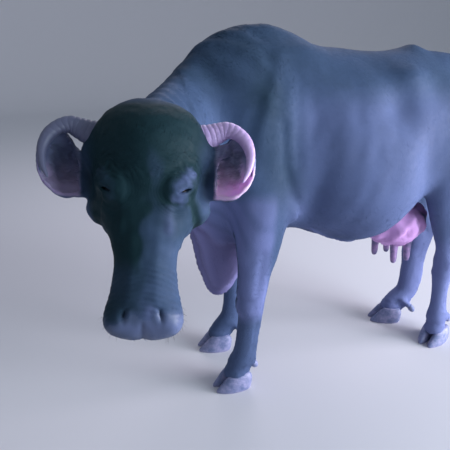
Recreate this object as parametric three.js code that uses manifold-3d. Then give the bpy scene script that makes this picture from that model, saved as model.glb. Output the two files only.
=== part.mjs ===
// A water buffalo cow, life size: she stands square with her neck bent to the left and her head lowered.
// Millimetres, +Z up, +X towards her front, +Y to her left. The ground is z = 0 and the origin lies
// under the middle of her outline. Every sub-part is one closed mesh, a small gap clear of the next.
import * as THREE from 'three';
import { mergeVertices } from 'three/addons/utils/BufferGeometryUtils.js';
import Module from 'manifold-3d';

const wasm = await Module();
wasm.setup();

// Driving dimensions
const gap = 0.4; // between two sub-parts that touch
const withersHeight = 1390;
const backHeight = 1310;
const rumpHeight = 1312;
const bellyHeight = 560;
const browWidth = 122; // half the width of the dome over the eyes
const eyeRadius = 21;
const clawLength = 148;
const clawWidth = 54;
const tailEnd = 330; // height of the tip of the tail's switch

// The head's place: the poll, then its turn to the left, its drop and its tilt in degrees
const headPose = { poll: [886, 524, 1190], turn: 69, drop: 63, tilt: -6.5 };

// Each foot's middle on the ground and how far it turns to the left, in degrees
const feet = {
  foreLeft: { x: 516, y: 126, turn: 2 },
  foreRight: { x: 494, y: -164, turn: -8 },
  hindLeft: { x: -497, y: 132, turn: 22 },
  hindRight: { x: -405, y: -112, turn: -20 },
};

const skin = new THREE.MeshStandardMaterial({ color: 0x3b3b42, roughness: 0.62, metalness: 0 });
const hornStuff = new THREE.MeshStandardMaterial({ color: 0x5d534c, roughness: 0.5, metalness: 0 });
const earSkin = new THREE.MeshStandardMaterial({ color: 0x6a585a, roughness: 0.7, metalness: 0 });
const udderSkin = new THREE.MeshStandardMaterial({ color: 0xb08a92, roughness: 0.6, metalness: 0 });
const hoofHorn = new THREE.MeshStandardMaterial({ color: 0x4d4945, roughness: 0.45, metalness: 0 });
const eyeGloss = new THREE.MeshStandardMaterial({ color: 0x14100e, roughness: 0.08, metalness: 0 });
const hair = new THREE.MeshStandardMaterial({ color: 0x1f1c1b, roughness: 0.8, metalness: 0 });

const vec = (p) => new THREE.Vector3(...p);
const signedPower = (value, power) => Math.sign(value) * Math.abs(value) ** power;

// A closed mesh from rows of points: neighbouring rows are joined, and each end row closes on its middle.
function closedRows(rows) {
  const sides = rows[0].length;
  const middle = (row) => row.reduce((sum, p) => sum.add(p), new THREE.Vector3()).divideScalar(sides);
  const points = [...rows.flat(), middle(rows[0]), middle(rows.at(-1))];
  const start = points.length - 2;
  const end = points.length - 1;
  const last = (rows.length - 1) * sides;
  const faces = [];
  for (let j = 0; j < sides; j++) {
    const k = (j + 1) % sides;
    for (let i = 0; i < last; i += sides) {
      faces.push(i + j, i + k, i + sides + k);
      faces.push(i + j, i + sides + k, i + sides + j);
    }
    faces.push(start, k, j);
    faces.push(end, last + j, last + k);
  }
  const geometry = new THREE.BufferGeometry().setFromPoints(points);
  geometry.setIndex(faces);
  return geometry;
}

// A skin round a row of stations. A station [x, y, z, side, over, under] has its centre, its half width
// and its reach over and under that centre, towards `upright`. The sections stand square to `facing`,
// or to the path itself where none is given. Powers over 2 square a section's half, under 2 peak it.
function loft(stations, style) {
  const { upright = [0, 0, 1], facing, sides = 16, rings = 16, crown = 2, keel = 2, grow = 0 } = style;
  const curve = (points) => new THREE.CatmullRomCurve3(points, false, 'catmullrom', 0.5);
  const path = curve(stations.map((s) => vec(s.slice(0, 3))));
  const sizes = curve(stations.map((s) => vec(s.slice(3, 6))));
  const rows = [];
  for (let i = 0; i <= rings; i++) {
    const t = i / rings;
    const along = facing ? vec(facing).normalize() : path.getTangent(t);
    const across = new THREE.Vector3().crossVectors(vec(upright), along).normalize();
    const up = new THREE.Vector3().crossVectors(along, across);
    const size = sizes.getPoint(t);
    const centre = path.getPoint(t);
    if (i === 0) centre.addScaledVector(along, -grow);
    if (i === rings) centre.addScaledVector(along, grow);
    const row = [];
    for (let j = 0; j < sides; j++) {
      const angle = (2 * Math.PI * (j + 0.5)) / sides;
      const power = 2 / (Math.sin(angle) > 0 ? crown : keel);
      const reach = (Math.sin(angle) > 0 ? size.y : size.z) + grow;
      row.push(centre.clone()
        .addScaledVector(across, (size.x + grow) * signedPower(Math.cos(angle), power))
        .addScaledVector(up, reach * signedPower(Math.sin(angle), power)));
    }
    rows.push(row);
  }
  return closedRows(rows);
}

// Moves the points near each spot [at, reach, push] by its push, which fades as a bell curve.
function swell(geometry, spots) {
  const position = geometry.getAttribute('position');
  for (let i = 0; i < position.count; i++) {
    const start = new THREE.Vector3().fromBufferAttribute(position, i);
    const moved = start.clone();
    for (const [at, reach, push] of spots) {
      const far = start.clone().sub(vec(at)).divide(vec(reach)).lengthSq();
      moved.addScaledVector(vec(push), Math.exp(-far));
    }
    position.setXYZ(i, moved.x, moved.y, moved.z);
  }
  return geometry;
}

// A spot given for her left side, and the same on her right
const mirrored = ([x, y, z]) => [x, -y, z];
const bothSides = (spots) => spots.flatMap(([at, reach, push]) => [
  [at, reach, push],
  [mirrored(at), reach, mirrored(push)],
]);

function solid(geometry, place = new THREE.Matrix4()) {
  const bare = geometry.clone().applyMatrix4(place);
  bare.deleteAttribute('uv');
  bare.deleteAttribute('normal');
  const merged = mergeVertices(bare, 1e-3);
  const corners = merged.index.array;
  const whole = [];
  for (let i = 0; i < corners.length; i += 3) {
    const [a, b, c] = corners.slice(i, i + 3);
    if (a !== b && b !== c && c !== a) whole.push(a, b, c);
  }
  if (place.determinant() < 0) whole.reverse();
  return new wasm.Manifold(new wasm.Mesh({
    numProp: 3,
    vertProperties: merged.getAttribute('position').array,
    triVerts: new Uint32Array(whole),
  }));
}

const largest = (cut) => cut.decompose().sort((a, b) => b.volume() - a.volume())[0];
const joined = (pieces) => pieces.reduce((sum, piece) => sum.add(piece));
const cutBy = (piece, cutters) => cutters.reduce((rest, cutter) => rest.subtract(cutter), piece);

const buffalo = new THREE.Group();

function addNode(name, shape, material) {
  const { numProp, vertProperties, triVerts } = largest(shape).getMesh();
  const points = [];
  for (let i = 0; i < vertProperties.length; i += numProp) points.push(...vertProperties.slice(i, i + 3));
  const geometry = new THREE.BufferGeometry();
  geometry.setAttribute('position', new THREE.Float32BufferAttribute(points, 3));
  geometry.setIndex(new THREE.BufferAttribute(triVerts, 1));
  const mesh = new THREE.Mesh(geometry, material);
  mesh.name = name;
  buffalo.add(mesh);
}

// Torso: each section's x, top, floor, half width and the height where it is widest
const torsoSections = [
  [645, 1010, 790, 60, 900],
  [622, 1130, 720, 120, 900],
  [575, 1262, 665, 180, 910],
  [520, 1345, 640, 212, 920],
  [440, 1382, 636, 228, 920],
  [350, withersHeight, 640, 240, 910],
  [250, 1368, 636, 268, 890],
  [150, 1326, 602, 304, 870],
  [40, backHeight + 3, bellyHeight, 330, 860],
  [-60, backHeight - 3, bellyHeight + 10, 338, 865],
  [-150, backHeight - 5, 606, 318, 890],
  [-240, rumpHeight, 672, 286, 940],
  [-345, rumpHeight - 8, 770, 258, 1000],
  [-460, 1296, 800, 236, 1030],
  [-560, 1268, 860, 196, 1050],
  [-640, 1222, 930, 146, 1070],
  [-690, 1160, 1000, 84, 1080],
  [-706, 1110, 1050, 30, 1082],
];
const torsoSpots = [
  [[-285, 0, 1330], [42, 70, 60], [0, 0, 20]], // peak of the rump
  [[360, 0, 1400], [190, 60, 60], [0, 0, 6]], // withers ridge
  ...bothSides([
    [[-150, 225, 1225], [60, 80, 50], [0, 44, 42]], // hook bone
    [[-70, 285, 1120], [80, 90, 95], [0, -50, -4]], // hollow of the flank
    [[-180, 300, 900], [60, 90, 120], [0, -26, 0]], // fold in front of the thigh
    [[-665, 95, 1135], [45, 55, 50], [-22, 34, 8]], // pin bone
    [[-470, 180, 1250], [120, 70, 60], [0, -22, -14]], // slope of the croup
    [[460, 205, 980], [110, 80, 190], [0, 26, 0]], // shoulder
    [[560, 170, 900], [70, 70, 70], [16, 22, 0]], // point of the shoulder
    [[255, 250, 1150], [70, 90, 150], [0, -22, 0]], // behind the shoulder blade
    [[250, 262, 780], [48, 90, 130], [0, -26, 0]], // girth behind the elbow
    [[400, 70, 1350], [160, 40, 40], [0, -10, -6]], // side of the withers ridge
  ]),
];
function torsoShape(grow) {
  const stations = torsoSections.map(([x, top, floor, half, wide]) => (
    [x, 0, wide, half, top - wide, wide - floor]
  ));
  const style = { facing: [-1, 0, 0], sides: 24, rings: 28, crown: 1.8, keel: 2.2, grow };
  return solid(swell(loft(stations, style), torsoSpots));
}

// Head, in its own frame: +X down the face to the muzzle, +Z out of the face, +Y to her left.
// Each section's x, brow height, jaw depth, half width and the height where it is widest
const headSections = [
  [-50, -86, 116, 22, -100],
  [-34, -46, 142, 68, -88],
  [-10, -12, 166, 100, -78],
  [20, 18, 184, 119, -70],
  [50, 33, 194, 125, -62],
  [84, 42, 204, browWidth + 4, -60],
  [125, 40, 214, browWidth + 1, -60],
  [172, 28, 226, 114, -62],
  [215, 14, 232, 103, -68],
  [265, 4, 220, 92, -74],
  [320, 0, 190, 82, -72],
  [380, 0, 160, 77, -68],
  [436, 5, 146, 82, -64],
  [482, 7, 140, 92, -60],
  [518, -3, 134, 95, -60],
  [544, -22, 122, 78, -66],
  [560, -50, 100, 38, -74],
];
const headSpots = [
  [[90, 0, 40], [80, 70, 60], [0, 0, 8]], // dome of the forehead
  [[540, 0, -40], [26, 16, 40], [-6, 0, -3]], // groove under the nose
  [[560, 0, -126], [50, 90, 46], [-30, 0, 6]], // the lower lip, shorter than the nose
  ...bothSides([
    [[188, 98, -22], [38, 34, 34], [2, 16, 16]], // brow over the eye
    [[238, 92, -48], [28, 28, 34], [0, 9, 6]], // under the eye
    [[244, 108, -152], [72, 60, 72], [0, 84, -6]], // cheek and jaw angle
    [[88, 128, -92], [60, 44, 48], [0, 46, 0]], // root of the horn
    [[296, 68, -36], [46, 30, 30], [0, 8, 3]], // ridge below the eye
    [[322, 72, -118], [56, 40, 40], [0, -10, 0]], // hollow of the cheek
    [[508, 62, -26], [30, 26, 26], [8, 8, 10]], // wing of the nostril
    [[498, 70, -118], [40, 40, 20], [0, 9, -4]], // lip
  ]),
];
const headPlacer = new THREE.Object3D();
headPlacer.position.set(...headPose.poll);
const poseAngles = [headPose.tilt, headPose.drop, headPose.turn].map(THREE.MathUtils.degToRad);
headPlacer.rotation.set(...poseAngles, 'ZYX');
headPlacer.updateMatrix();
const headPlace = headPlacer.matrix;
const inBody = (p) => vec(p).applyMatrix4(headPlace).toArray();

function headSolid(grow) {
  const stations = headSections.map(([x, brow, jaw, half, wide]) => (
    [x, 0, wide, half, brow - wide, jaw + wide]
  ));
  const style = { facing: [1, 0, 0], sides: 24, rings: 24, crown: 2.15, keel: 2.1, grow };
  return solid(swell(loft(stations, style), headSpots), headPlace);
}

// Neck: from deep in the chest, bending left to the back of the head
const neckStations = [
  [420, 0, 1010, 165, 335, 330],
  [520, 5, 1000, 164, 345, 320],
  [606, 36, 990, 154, 318, 300],
  [690, 100, 990, 138, 262, 250],
  [772, 205, 998, 122, 212, 205],
  [842, 335, 1010, 112, 176, 172],
  [888, 460, 1020, 104, 142, 148],
  [912, 545, 1015, 86, 100, 104],
];
const neckShape = (grow) => {
  const style = { sides: 16, rings: 10, crown: 1.75, keel: 1.6, grow };
  return solid(loft(neckStations, style));
};

// Brisket: the loose lobe that hangs between the forelegs
const brisketStations = [
  [582, 34, 860, 92, 80, 150],
  [564, 30, 740, 88, 100, 160],
  [540, 28, 620, 78, 104, 138],
  [540, 28, 520, 66, 88, 108],
  [546, 28, 446, 54, 62, 74],
  [548, 28, 400, 36, 38, 44],
  [548, 28, 386, 16, 16, 18],
];
const brisketShape = (grow) => {
  const style = { upright: [1, 0, 0], sides: 14, rings: 9, grow };
  return solid(loft(brisketStations, style));
};

// Legs: stations from the top down, reaching forwards and backwards of the bone
const legStations = {
  foreLeft: [
    [452, 150, 950, 66, 106, 112],
    [450, 172, 860, 82, 104, 118],
    [440, 180, 770, 80, 96, 114],
    [436, 182, 690, 70, 92, 96],
    [438, 180, 610, 60, 86, 84],
    [448, 178, 510, 52, 70, 62],
    [458, 176, 420, 53, 62, 54],
    [460, 175, 370, 48, 56, 50],
    [463, 168, 310, 37, 50, 48],
    [467, 156, 230, 34, 48, 48],
    [470, 144, 165, 38, 52, 52],
    [478, 136, 125, 44, 54, 54],
    [492, 131, 92, 48, 54, 54],
    [502, 128, 62, 50, 56, 52],
    [506, 126, 40, 44, 46, 42],
  ],
  foreRight: [
    [452, -150, 950, 66, 106, 112],
    [450, -172, 860, 82, 104, 118],
    [436, -178, 770, 80, 96, 114],
    [428, -178, 690, 70, 92, 96],
    [422, -176, 610, 60, 84, 82],
    [418, -172, 510, 52, 68, 60],
    [414, -169, 420, 53, 60, 54],
    [410, -168, 370, 48, 56, 50],
    [406, -167, 310, 37, 50, 48],
    [406, -166, 230, 34, 48, 48],
    [412, -165, 165, 38, 52, 52],
    [430, -164, 122, 44, 54, 54],
    [456, -164, 90, 48, 54, 54],
    [476, -164, 62, 50, 56, 52],
    [484, -164, 40, 44, 46, 42],
  ],
  hindLeft: [
    [-430, 100, 1180, 44, 80, 90],
    [-430, 140, 1090, 78, 140, 160],
    [-430, 174, 970, 102, 196, 222],
    [-425, 182, 850, 94, 176, 205],
    [-430, 182, 740, 80, 136, 160],
    [-448, 172, 640, 64, 104, 120],
    [-470, 156, 545, 50, 74, 88],
    [-486, 142, 470, 43, 58, 82],
    [-500, 132, 410, 46, 56, 70],
    [-502, 128, 345, 42, 52, 52],
    [-503, 126, 280, 34, 43, 46],
    [-504, 125, 210, 33, 42, 46],
    [-504, 126, 160, 38, 46, 50],
    [-505, 127, 125, 44, 50, 52],
    [-503, 129, 92, 46, 50, 52],
    [-499, 131, 62, 50, 54, 50],
    [-498, 132, 40, 44, 46, 42],
  ],
  hindRight: [
    [-440, -100, 1180, 44, 80, 90],
    [-445, -140, 1090, 78, 140, 155],
    [-452, -174, 970, 102, 196, 208],
    [-455, -180, 850, 94, 176, 190],
    [-470, -176, 740, 80, 140, 150],
    [-495, -160, 640, 64, 106, 118],
    [-520, -140, 545, 50, 78, 92],
    [-540, -122, 470, 43, 62, 86],
    [-546, -116, 410, 46, 66, 76],
    [-542, -114, 345, 44, 66, 64],
    [-538, -114, 280, 36, 58, 60],
    [-532, -114, 205, 35, 54, 62],
    [-522, -114, 150, 38, 52, 54],
    [-500, -114, 112, 44, 54, 52],
    [-462, -113, 84, 48, 56, 52],
    [-430, -112, 62, 50, 56, 50],
    [-416, -112, 40, 44, 46, 42],
  ],
};
const turned = (degrees) => {
  const angle = THREE.MathUtils.degToRad(degrees);
  return [Math.cos(angle), Math.sin(angle), 0];
};
function legShape(name, grow) {
  const style = { upright: turned(feet[name].turn * 0.6), sides: 10, rings: 20, crown: 2, keel: 1.9, grow };
  const stations = legStations[name];
  if (name.startsWith('fore')) return solid(loft(stations, style));
  // the point of the hock
  const [x, y] = stations[7];
  return solid(swell(loft(stations, style), [[[x - 80, y, 450], [30, 40, 36], [-20, 0, 12]]]));
}

// A claw from its sole up, in its own frame: +X towards its toe. The sole is flat on the ground.
const clawHalf = clawLength / 2;
const clawStations = [
  [4, 0, 0, clawWidth / 2 - 3, clawHalf, clawHalf - 10],
  [2, 0, 10, clawWidth / 2, clawHalf + 1, clawHalf - 6],
  [-4, 0, 34, clawWidth / 2 - 1, clawHalf - 14, clawHalf - 8],
  [-12, 0, 58, clawWidth / 2 - 5, clawHalf - 26, clawHalf - 16],
  [-18, 0, 74, clawWidth / 2 - 11, clawHalf - 38, clawHalf - 32],
];
const dewclawStations = [
  [10, 0, 24, 12, 13, 13],
  [0, 0, 12, 13, 13, 13],
  [-10, 0, 0, 12, 12, 12],
  [-20, 0, -14, 7, 7, 7],
];
function placedAt(x, y, z, degrees) {
  const placer = new THREE.Object3D();
  placer.position.set(x, y, z);
  placer.rotation.z = THREE.MathUtils.degToRad(degrees);
  placer.updateMatrix();
  return placer.matrix;
}
// Where the dewclaws hang: behind the foot's middle, and their height
const heels = { foreLeft: [-84, 92], foreRight: [-112, 84], hindLeft: [-70, 92], hindRight: [-122, 62] };

// The two claws and the two dewclaws of a foot, each as [name, shape]
function footHorn(name, grow) {
  const { x, y, turn } = feet[name];
  const [ahead, left] = turned(turn);
  const [heelX, heelZ] = heels[name];
  const upwards = { facing: [0, 0, 1], upright: [1, 0, 0], sides: 12, rings: 4, crown: 1.8, keel: 2.4 };
  return [1, -1].flatMap((side) => {
    const splay = turn - side * 3;
    const apart = side * (clawWidth / 2 + 2.5);
    const claw = solid(
      loft(clawStations, { ...upwards, grow }),
      placedAt(x - left * apart, y + ahead * apart, 0, splay),
    );
    const out = side * 25;
    const dewclaw = solid(
      loft(dewclawStations, { upright: [1, 0, 0], sides: 7, rings: 3, grow }),
      placedAt(x + ahead * heelX - left * out, y + left * heelX + ahead * out, heelZ, turn),
    );
    const label = side > 0 ? 'left' : 'right';
    return [[`claw_${label}`, claw], [`dewclaw_${label}`, dewclaw]];
  });
}

// Horns and ears, in the head's frame, given for her left side
const hornStations = [
  [56, 104, -82, 36, 32, 32],
  [50, 142, -80, 33, 29, 29],
  [40, 172, -74, 27, 24, 24],
  [34, 196, -66, 22, 20, 20],
  [44, 221, -57, 18, 18, 18],
  [68, 242, -48, 16, 16, 16],
  [104, 252, -38, 12, 13, 13],
  [144, 246, -27, 8, 9, 9],
  [176, 231, -20, 5, 5, 5],
];
const earStations = [
  [182, 106, -134, 30, 24, 24],
  [170, 134, -128, 42, 27, 26],
  [160, 160, -120, 52, 36, 32],
  [144, 184, -108, 66, 44, 38],
  [130, 207, -92, 84, 50, 44],
  [126, 233, -72, 76, 42, 40],
  [126, 255, -58, 50, 28, 26],
  [126, 268, -50, 16, 10, 10],
];
const cupStations = [
  [164, 172, -92, 30, 36, 18],
  [142, 192, -80, 58, 60, 30],
  [130, 211, -66, 74, 66, 38],
  [126, 234, -50, 66, 60, 34],
  [126, 256, -38, 39, 46, 20],
];
const mirrorY = new THREE.Matrix4().makeScale(1, -1, 1);
const onSide = (side) => (side > 0 ? headPlace : headPlace.clone().multiply(mirrorY));
const hornShape = (side, grow) => solid(loft(hornStations, { sides: 8, rings: 12, grow }), onSide(side));
function earShape(side) {
  const outside = solid(loft(earStations, { facing: [0, 1, 0], sides: 14, rings: 9 }), onSide(side));
  const cup = solid(loft(cupStations, { facing: [0, 1, 0], sides: 12, rings: 6 }), onSide(side));
  return outside.subtract(cup);
}

// Eyes, each in a rim of lids that follows the slit between them
const eyeAt = [207, 91, -22];
const eyeLook = vec([0.25, 0.62, 0.74]).normalize();
const eyeShape = (side, grow) => solid(
  new THREE.SphereGeometry(eyeRadius + grow, 12, 8).translate(...eyeAt),
  onSide(side),
);
function lidShape(side) {
  const slit = new THREE.Vector3().crossVectors(eyeLook, vec([1, 0, 0])).normalize();
  const across = new THREE.Vector3().crossVectors(eyeLook, slit);
  const ring = new THREE.TorusGeometry(20, 7, 6, 14).scale(1, 0.72, 1);
  ring.applyMatrix4(new THREE.Matrix4().makeBasis(slit, across, eyeLook));
  ring.translate(...vec(eyeAt).addScaledVector(eyeLook, 9).toArray());
  return solid(ring, onSide(side));
}

// Mouth: a groove round the muzzle, and the two nostrils
const mouthDepth = 7;
const mouthSlot = new THREE.BoxGeometry(136, 230, 4).rotateY(-0.18).translate(492, 0, -100);
const mouthShape = solid(mouthSlot, headPlace).subtract(headSolid(-mouthDepth));
const nostrilShape = (side) => solid(
  new THREE.SphereGeometry(1, 10, 6).scale(17, 8, 12).rotateZ(0.5).translate(517, 40, -6),
  onSide(side),
);

// Udder and its four teats
const udderStations = [
  [-132, 16, 626, 44, 30, 34],
  [-162, 18, 608, 96, 70, 66],
  [-217, 22, 602, 126, 96, 104],
  [-282, 26, 610, 134, 110, 120],
  [-334, 26, 636, 108, 96, 100],
  [-370, 24, 676, 54, 56, 54],
];
const udderShape = (grow) => solid(loft(udderStations, { sides: 14, rings: 8, grow }));
const teats = {
  teat_front_left: [-262, 66, 500],
  teat_rear_left: [-326, 72, 506],
  teat_front_right: [-240, -36, 500],
  teat_rear_right: [-306, -38, 504],
};
const teatShape = ([x, y, z], grow) => solid(loft([
  [x, y * 0.9, z + 50, 22, 22, 22],
  [x, y, z + 10, 20, 20, 20],
  [x - 1, y * 1.04, z - 40, 16, 16, 16],
  [x - 2, y * 1.06, z - 78, 14, 14, 14],
  [x - 2, y * 1.06, z - 90, 7, 7, 7],
], { upright: [1, 0, 0], sides: 8, rings: 6, grow }));

// Tail, hanging behind the thighs, and the switch of long hair at its end
const tailPath = [
  [-590, 0, 1190, 34, 26, 26],
  [-660, 0, 1196, 34, 28, 30],
  [-714, 0, 1150, 32, 30, 30],
  [-736, 2, 1050, 27, 26, 26],
  [-742, 6, 900, 23, 22, 22],
  [-734, 10, 760, 19, 18, 18],
  [-722, 14, 620, 15, 15, 15],
  [-716, 16, 560, 12, 12, 12],
];
const tailShape = (grow) => solid(loft(tailPath, { upright: [1, 0, 0.3], sides: 8, rings: 13, grow }));
const switchCore = [
  [-718, 15, 590, 16, 16, 16],
  [-716, 16, 545, 22, 22, 22],
  [-713, 18, 500, 21, 21, 21],
  [-711, 18, 460, 9, 9, 9],
];
// The switch's locks come in three sizes and hang round the core, each one flat and rooted well inside it.
const lockSizes = [
  { long: 205, wide: 17, thick: 7 },
  { long: 170, wide: 15, thick: 6 },
  { long: 140, wide: 13, thick: 6 },
];
const lockCount = 18;
const goldenTurn = 2.39996; // from one lock to the next, in radians
function seeded(seed) {
  let state = seed;
  return () => {
    state = (state * 1664525 + 1013904223) % 4294967296;
    return state / 4294967296;
  };
}
function switchShape() {
  const random = seeded(7);
  const locks = [solid(loft(switchCore, { upright: [1, 0, 0], sides: 8, rings: 6 }))];
  for (let i = 0; i < lockCount; i++) {
    const { long, wide, thick } = lockSizes[i % lockSizes.length];
    const outwards = [Math.cos(i * goldenTurn), Math.sin(i * goldenTurn), 0];
    const tip = tailEnd + 62 * random() * (i % lockSizes.length);
    const root = tip + long;
    const spread = 17 + 9 * random();
    const place = (out, height) => [-712 + out * outwards[0], 17 + out * outwards[1], height];
    const stations = [
      [...place(4, root), wide * 0.5, thick, thick],
      [...place(spread - 3, root - 0.3 * long), wide, thick, thick],
      [...place(spread, root - 0.62 * long), wide * 0.85, thick, thick],
      [...place(spread * 0.6, tip), 2.5, 2.5, 2.5],
    ];
    locks.push(solid(loft(stations, { upright: outwards, sides: 5, rings: 4 })));
  }
  return joined(locks);
}

const sideNames = [['left', 1], ['right', -1]];
const legNames = {
  foreLeft: 'foreleg_left',
  foreRight: 'foreleg_right',
  hindLeft: 'hindleg_left',
  hindRight: 'hindleg_right',
};

const torsoRoom = torsoShape(gap);
const headRoom = headSolid(gap);
const neckRoom = neckShape(gap);

addNode('torso', torsoShape(0), skin);
addNode('neck', cutBy(neckShape(0), [torsoRoom, headRoom]), skin);
addNode('brisket', cutBy(brisketShape(0), [torsoRoom, neckRoom]), skin);
const faceCuts = [eyeShape(1, gap), eyeShape(-1, gap), nostrilShape(1), nostrilShape(-1), mouthShape];
addNode('head', cutBy(joined([headSolid(0), lidShape(1), lidShape(-1)]), faceCuts), skin);
for (const [label, side] of sideNames) {
  addNode(`eye_${label}`, eyeShape(side, 0), eyeGloss);
  addNode(`horn_${label}`, cutBy(hornShape(side, 0), [headRoom]), hornStuff);
  addNode(`ear_${label}`, cutBy(earShape(side), [headRoom, hornShape(side, gap), neckRoom]), earSkin);
}
for (const [name, label] of Object.entries(legNames)) {
  const rooms = footHorn(name, gap).map(([, shape]) => shape);
  addNode(label, cutBy(legShape(name, 0), [torsoRoom, brisketShape(gap), ...rooms]), skin);
  for (const [piece, shape] of footHorn(name, 0)) {
    addNode(`${label}_${piece}`, shape, hoofHorn);
  }
}
const legRooms = Object.keys(legNames).map((name) => legShape(name, gap));
addNode('udder', cutBy(udderShape(0), [torsoRoom, ...legRooms]), udderSkin);
for (const [name, spot] of Object.entries(teats)) {
  addNode(name, cutBy(teatShape(spot, 0), [udderShape(gap), torsoRoom, ...legRooms]), udderSkin);
}
addNode('tail', cutBy(tailShape(0), [torsoRoom]), skin);
addNode('tail_switch', cutBy(switchShape(), [tailShape(gap)]), hair);

// The origin goes under the middle of her outline, on the ground.
const outline = new THREE.Box3().setFromObject(buffalo);
const middle = outline.getCenter(new THREE.Vector3());
for (const mesh of buffalo.children) mesh.geometry.translate(-middle.x, -middle.y, -outline.min.z);

export default buffalo;
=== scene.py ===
# A life-size water buffalo cow: one skin drawn over her whole body, then horns, eyes, lids, hooves,
# teats, tail and coat. Shapes are worked out in millimetres in her own standing frame and are put
# into the meshes in metres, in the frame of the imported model.
import math

import bpy
import numpy as np
import openvdb
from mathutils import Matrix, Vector


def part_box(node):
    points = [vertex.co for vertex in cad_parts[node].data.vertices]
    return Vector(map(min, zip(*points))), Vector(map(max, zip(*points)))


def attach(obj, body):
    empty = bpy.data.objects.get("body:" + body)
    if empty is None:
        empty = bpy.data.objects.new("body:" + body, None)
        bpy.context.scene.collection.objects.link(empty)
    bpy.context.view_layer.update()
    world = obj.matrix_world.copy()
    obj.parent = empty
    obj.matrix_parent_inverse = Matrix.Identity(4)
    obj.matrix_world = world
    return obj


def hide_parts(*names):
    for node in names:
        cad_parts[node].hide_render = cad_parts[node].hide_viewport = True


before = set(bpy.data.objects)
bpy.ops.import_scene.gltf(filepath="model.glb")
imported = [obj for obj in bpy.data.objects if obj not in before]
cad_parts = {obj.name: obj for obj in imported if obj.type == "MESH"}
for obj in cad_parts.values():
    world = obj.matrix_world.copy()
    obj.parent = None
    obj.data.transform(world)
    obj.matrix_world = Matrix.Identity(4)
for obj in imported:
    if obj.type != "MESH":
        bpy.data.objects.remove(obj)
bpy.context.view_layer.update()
print("frame loaded:", len(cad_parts), "nodes")

# Her pose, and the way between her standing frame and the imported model
head = {"poll": (886, 524, 1190), "turn": 69, "drop": 63, "tilt": -6.5}
eye = {  # in the head frame; "at" is her left eye here, "packed" the place that the solids give it
    "at": (200, 74, -15), "packed": (207, 91, -22), "look": (0.25, 0.62, 0.74), "radius": 21, "lid": 2.6,
    "corner": 19, "openUp": 3.8, "openDown": 3.6, "slant": 0.5,
}


def turning(axis, degrees):
    # rotation matrix about one axis, right-handed
    c, s = math.cos(math.radians(degrees)), math.sin(math.radians(degrees))
    rows = {
        "x": [[1, 0, 0], [0, c, -s], [0, s, c]],
        "y": [[c, 0, s], [0, 1, 0], [-s, 0, c]],
        "z": [[c, -s, 0], [s, c, 0], [0, 0, 1]],
    }
    return np.array(rows[axis])


def placeFlat(points, x, y, z, degrees):
    # turned about the upright axis, then moved
    return points @ turning("z", degrees).T + np.array([x, y, z])


headTurn = turning("z", head["turn"]) @ turning("y", head["drop"]) @ turning("x", head["tilt"])
poll = np.array(head["poll"], float)


def fromHead(points):
    # head frame (down the face, her left, out of the face) to her standing frame
    return np.asarray(points, float) @ headTurn.T + poll


def toHead(points):
    # her standing frame to the head frame: the same turn, undone
    return (points - poll) @ headTurn


def unit(vectors):
    # each vector over its own length
    v = np.asarray(vectors, float)
    return v / np.maximum(np.linalg.norm(v, axis=-1, keepdims=True), 1e-9)


lowEye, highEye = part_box("eye_left")
eyeMiddle = np.array((lowEye + highEye) / 2) * 1000
shift = fromHead(eye["packed"]) - eyeMiddle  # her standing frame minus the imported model's frame


def smooth(low, high, value):
    # rises from 0 at low to 1 at high, with flat ends
    t = np.clip((value - low) / (high - low), 0, 1)
    return t * t * (3 - 2 * t)


def bell(value, middle, width):
    # 1 at the middle, exp of minus the squared distance over the width
    return np.exp(-(((value - middle) / width) ** 2))


# Meshes
def addMesh(name, points, faces, slot, material, nodes=(), inHer=True, spots=None):
    # points in millimetres in her standing frame; faces are arrays of corners, 3 or 4 to a row;
    # spots give each point its place on the OFBake map
    mesh = bpy.data.meshes.new(name)
    places = (np.asarray(points, float) - (shift if inHer else 0)) * 0.001
    sets = [np.asarray(f, np.int32) for f in faces if len(f)]
    corners = np.concatenate([f.ravel() for f in sets])
    totals = np.concatenate([np.full(len(f), f.shape[1]) for f in sets])
    mesh.vertices.add(len(places))
    mesh.vertices.foreach_set("co", places.astype(np.float32).ravel())
    mesh.loops.add(len(corners))
    mesh.loops.foreach_set("vertex_index", corners)
    mesh.polygons.add(len(totals))
    mesh.polygons.foreach_set("loop_start", np.concatenate([[0], np.cumsum(totals)[:-1]]).astype(np.int32))
    mesh.polygons.foreach_set("use_smooth", np.ones(len(totals), bool))
    if spots is not None:
        mesh.uv_layers.new(name="OFBake").data.foreach_set("uv", spots[corners].astype(np.float32).ravel())
    mesh.update(calc_edges=True)
    mesh.validate()
    piece = bpy.data.objects.new(name, mesh)
    bpy.context.scene.collection.objects.link(piece)
    piece.data.materials.append(material)
    if slot:
        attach(piece, "root")
        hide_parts(*nodes)
    return piece


def paint(piece, name, values):
    # one number for each vertex, read by the material
    layer = piece.data.attributes.new(name, "FLOAT", "POINT")
    layer.data.foreach_set("value", np.asarray(values, np.float32))


def catmull(points, t):
    # Catmull-Rom curve through evenly timed points; the ends are mirrored
    p = np.asarray(points, float)
    spans = len(p) - 1
    p = np.vstack([2 * p[0] - p[1], p, 2 * p[-1] - p[-2]])
    s = np.clip(t, 0, 1) * spans
    i = np.minimum(s.astype(int), spans - 1)
    f = (s - i)[:, None]
    a, b, c, d = p[i], p[i + 1], p[i + 2], p[i + 3]
    m, n = (c - a) / 2, (d - b) / 2
    return b + f * m + f**2 * (3 * (c - b) - 2 * m - n) + f**3 * (2 * (b - c) + m + n)


def signedPower(value, power):
    # the size raised to the power, with the sign kept
    return np.sign(value) * np.abs(value) ** power


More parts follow.
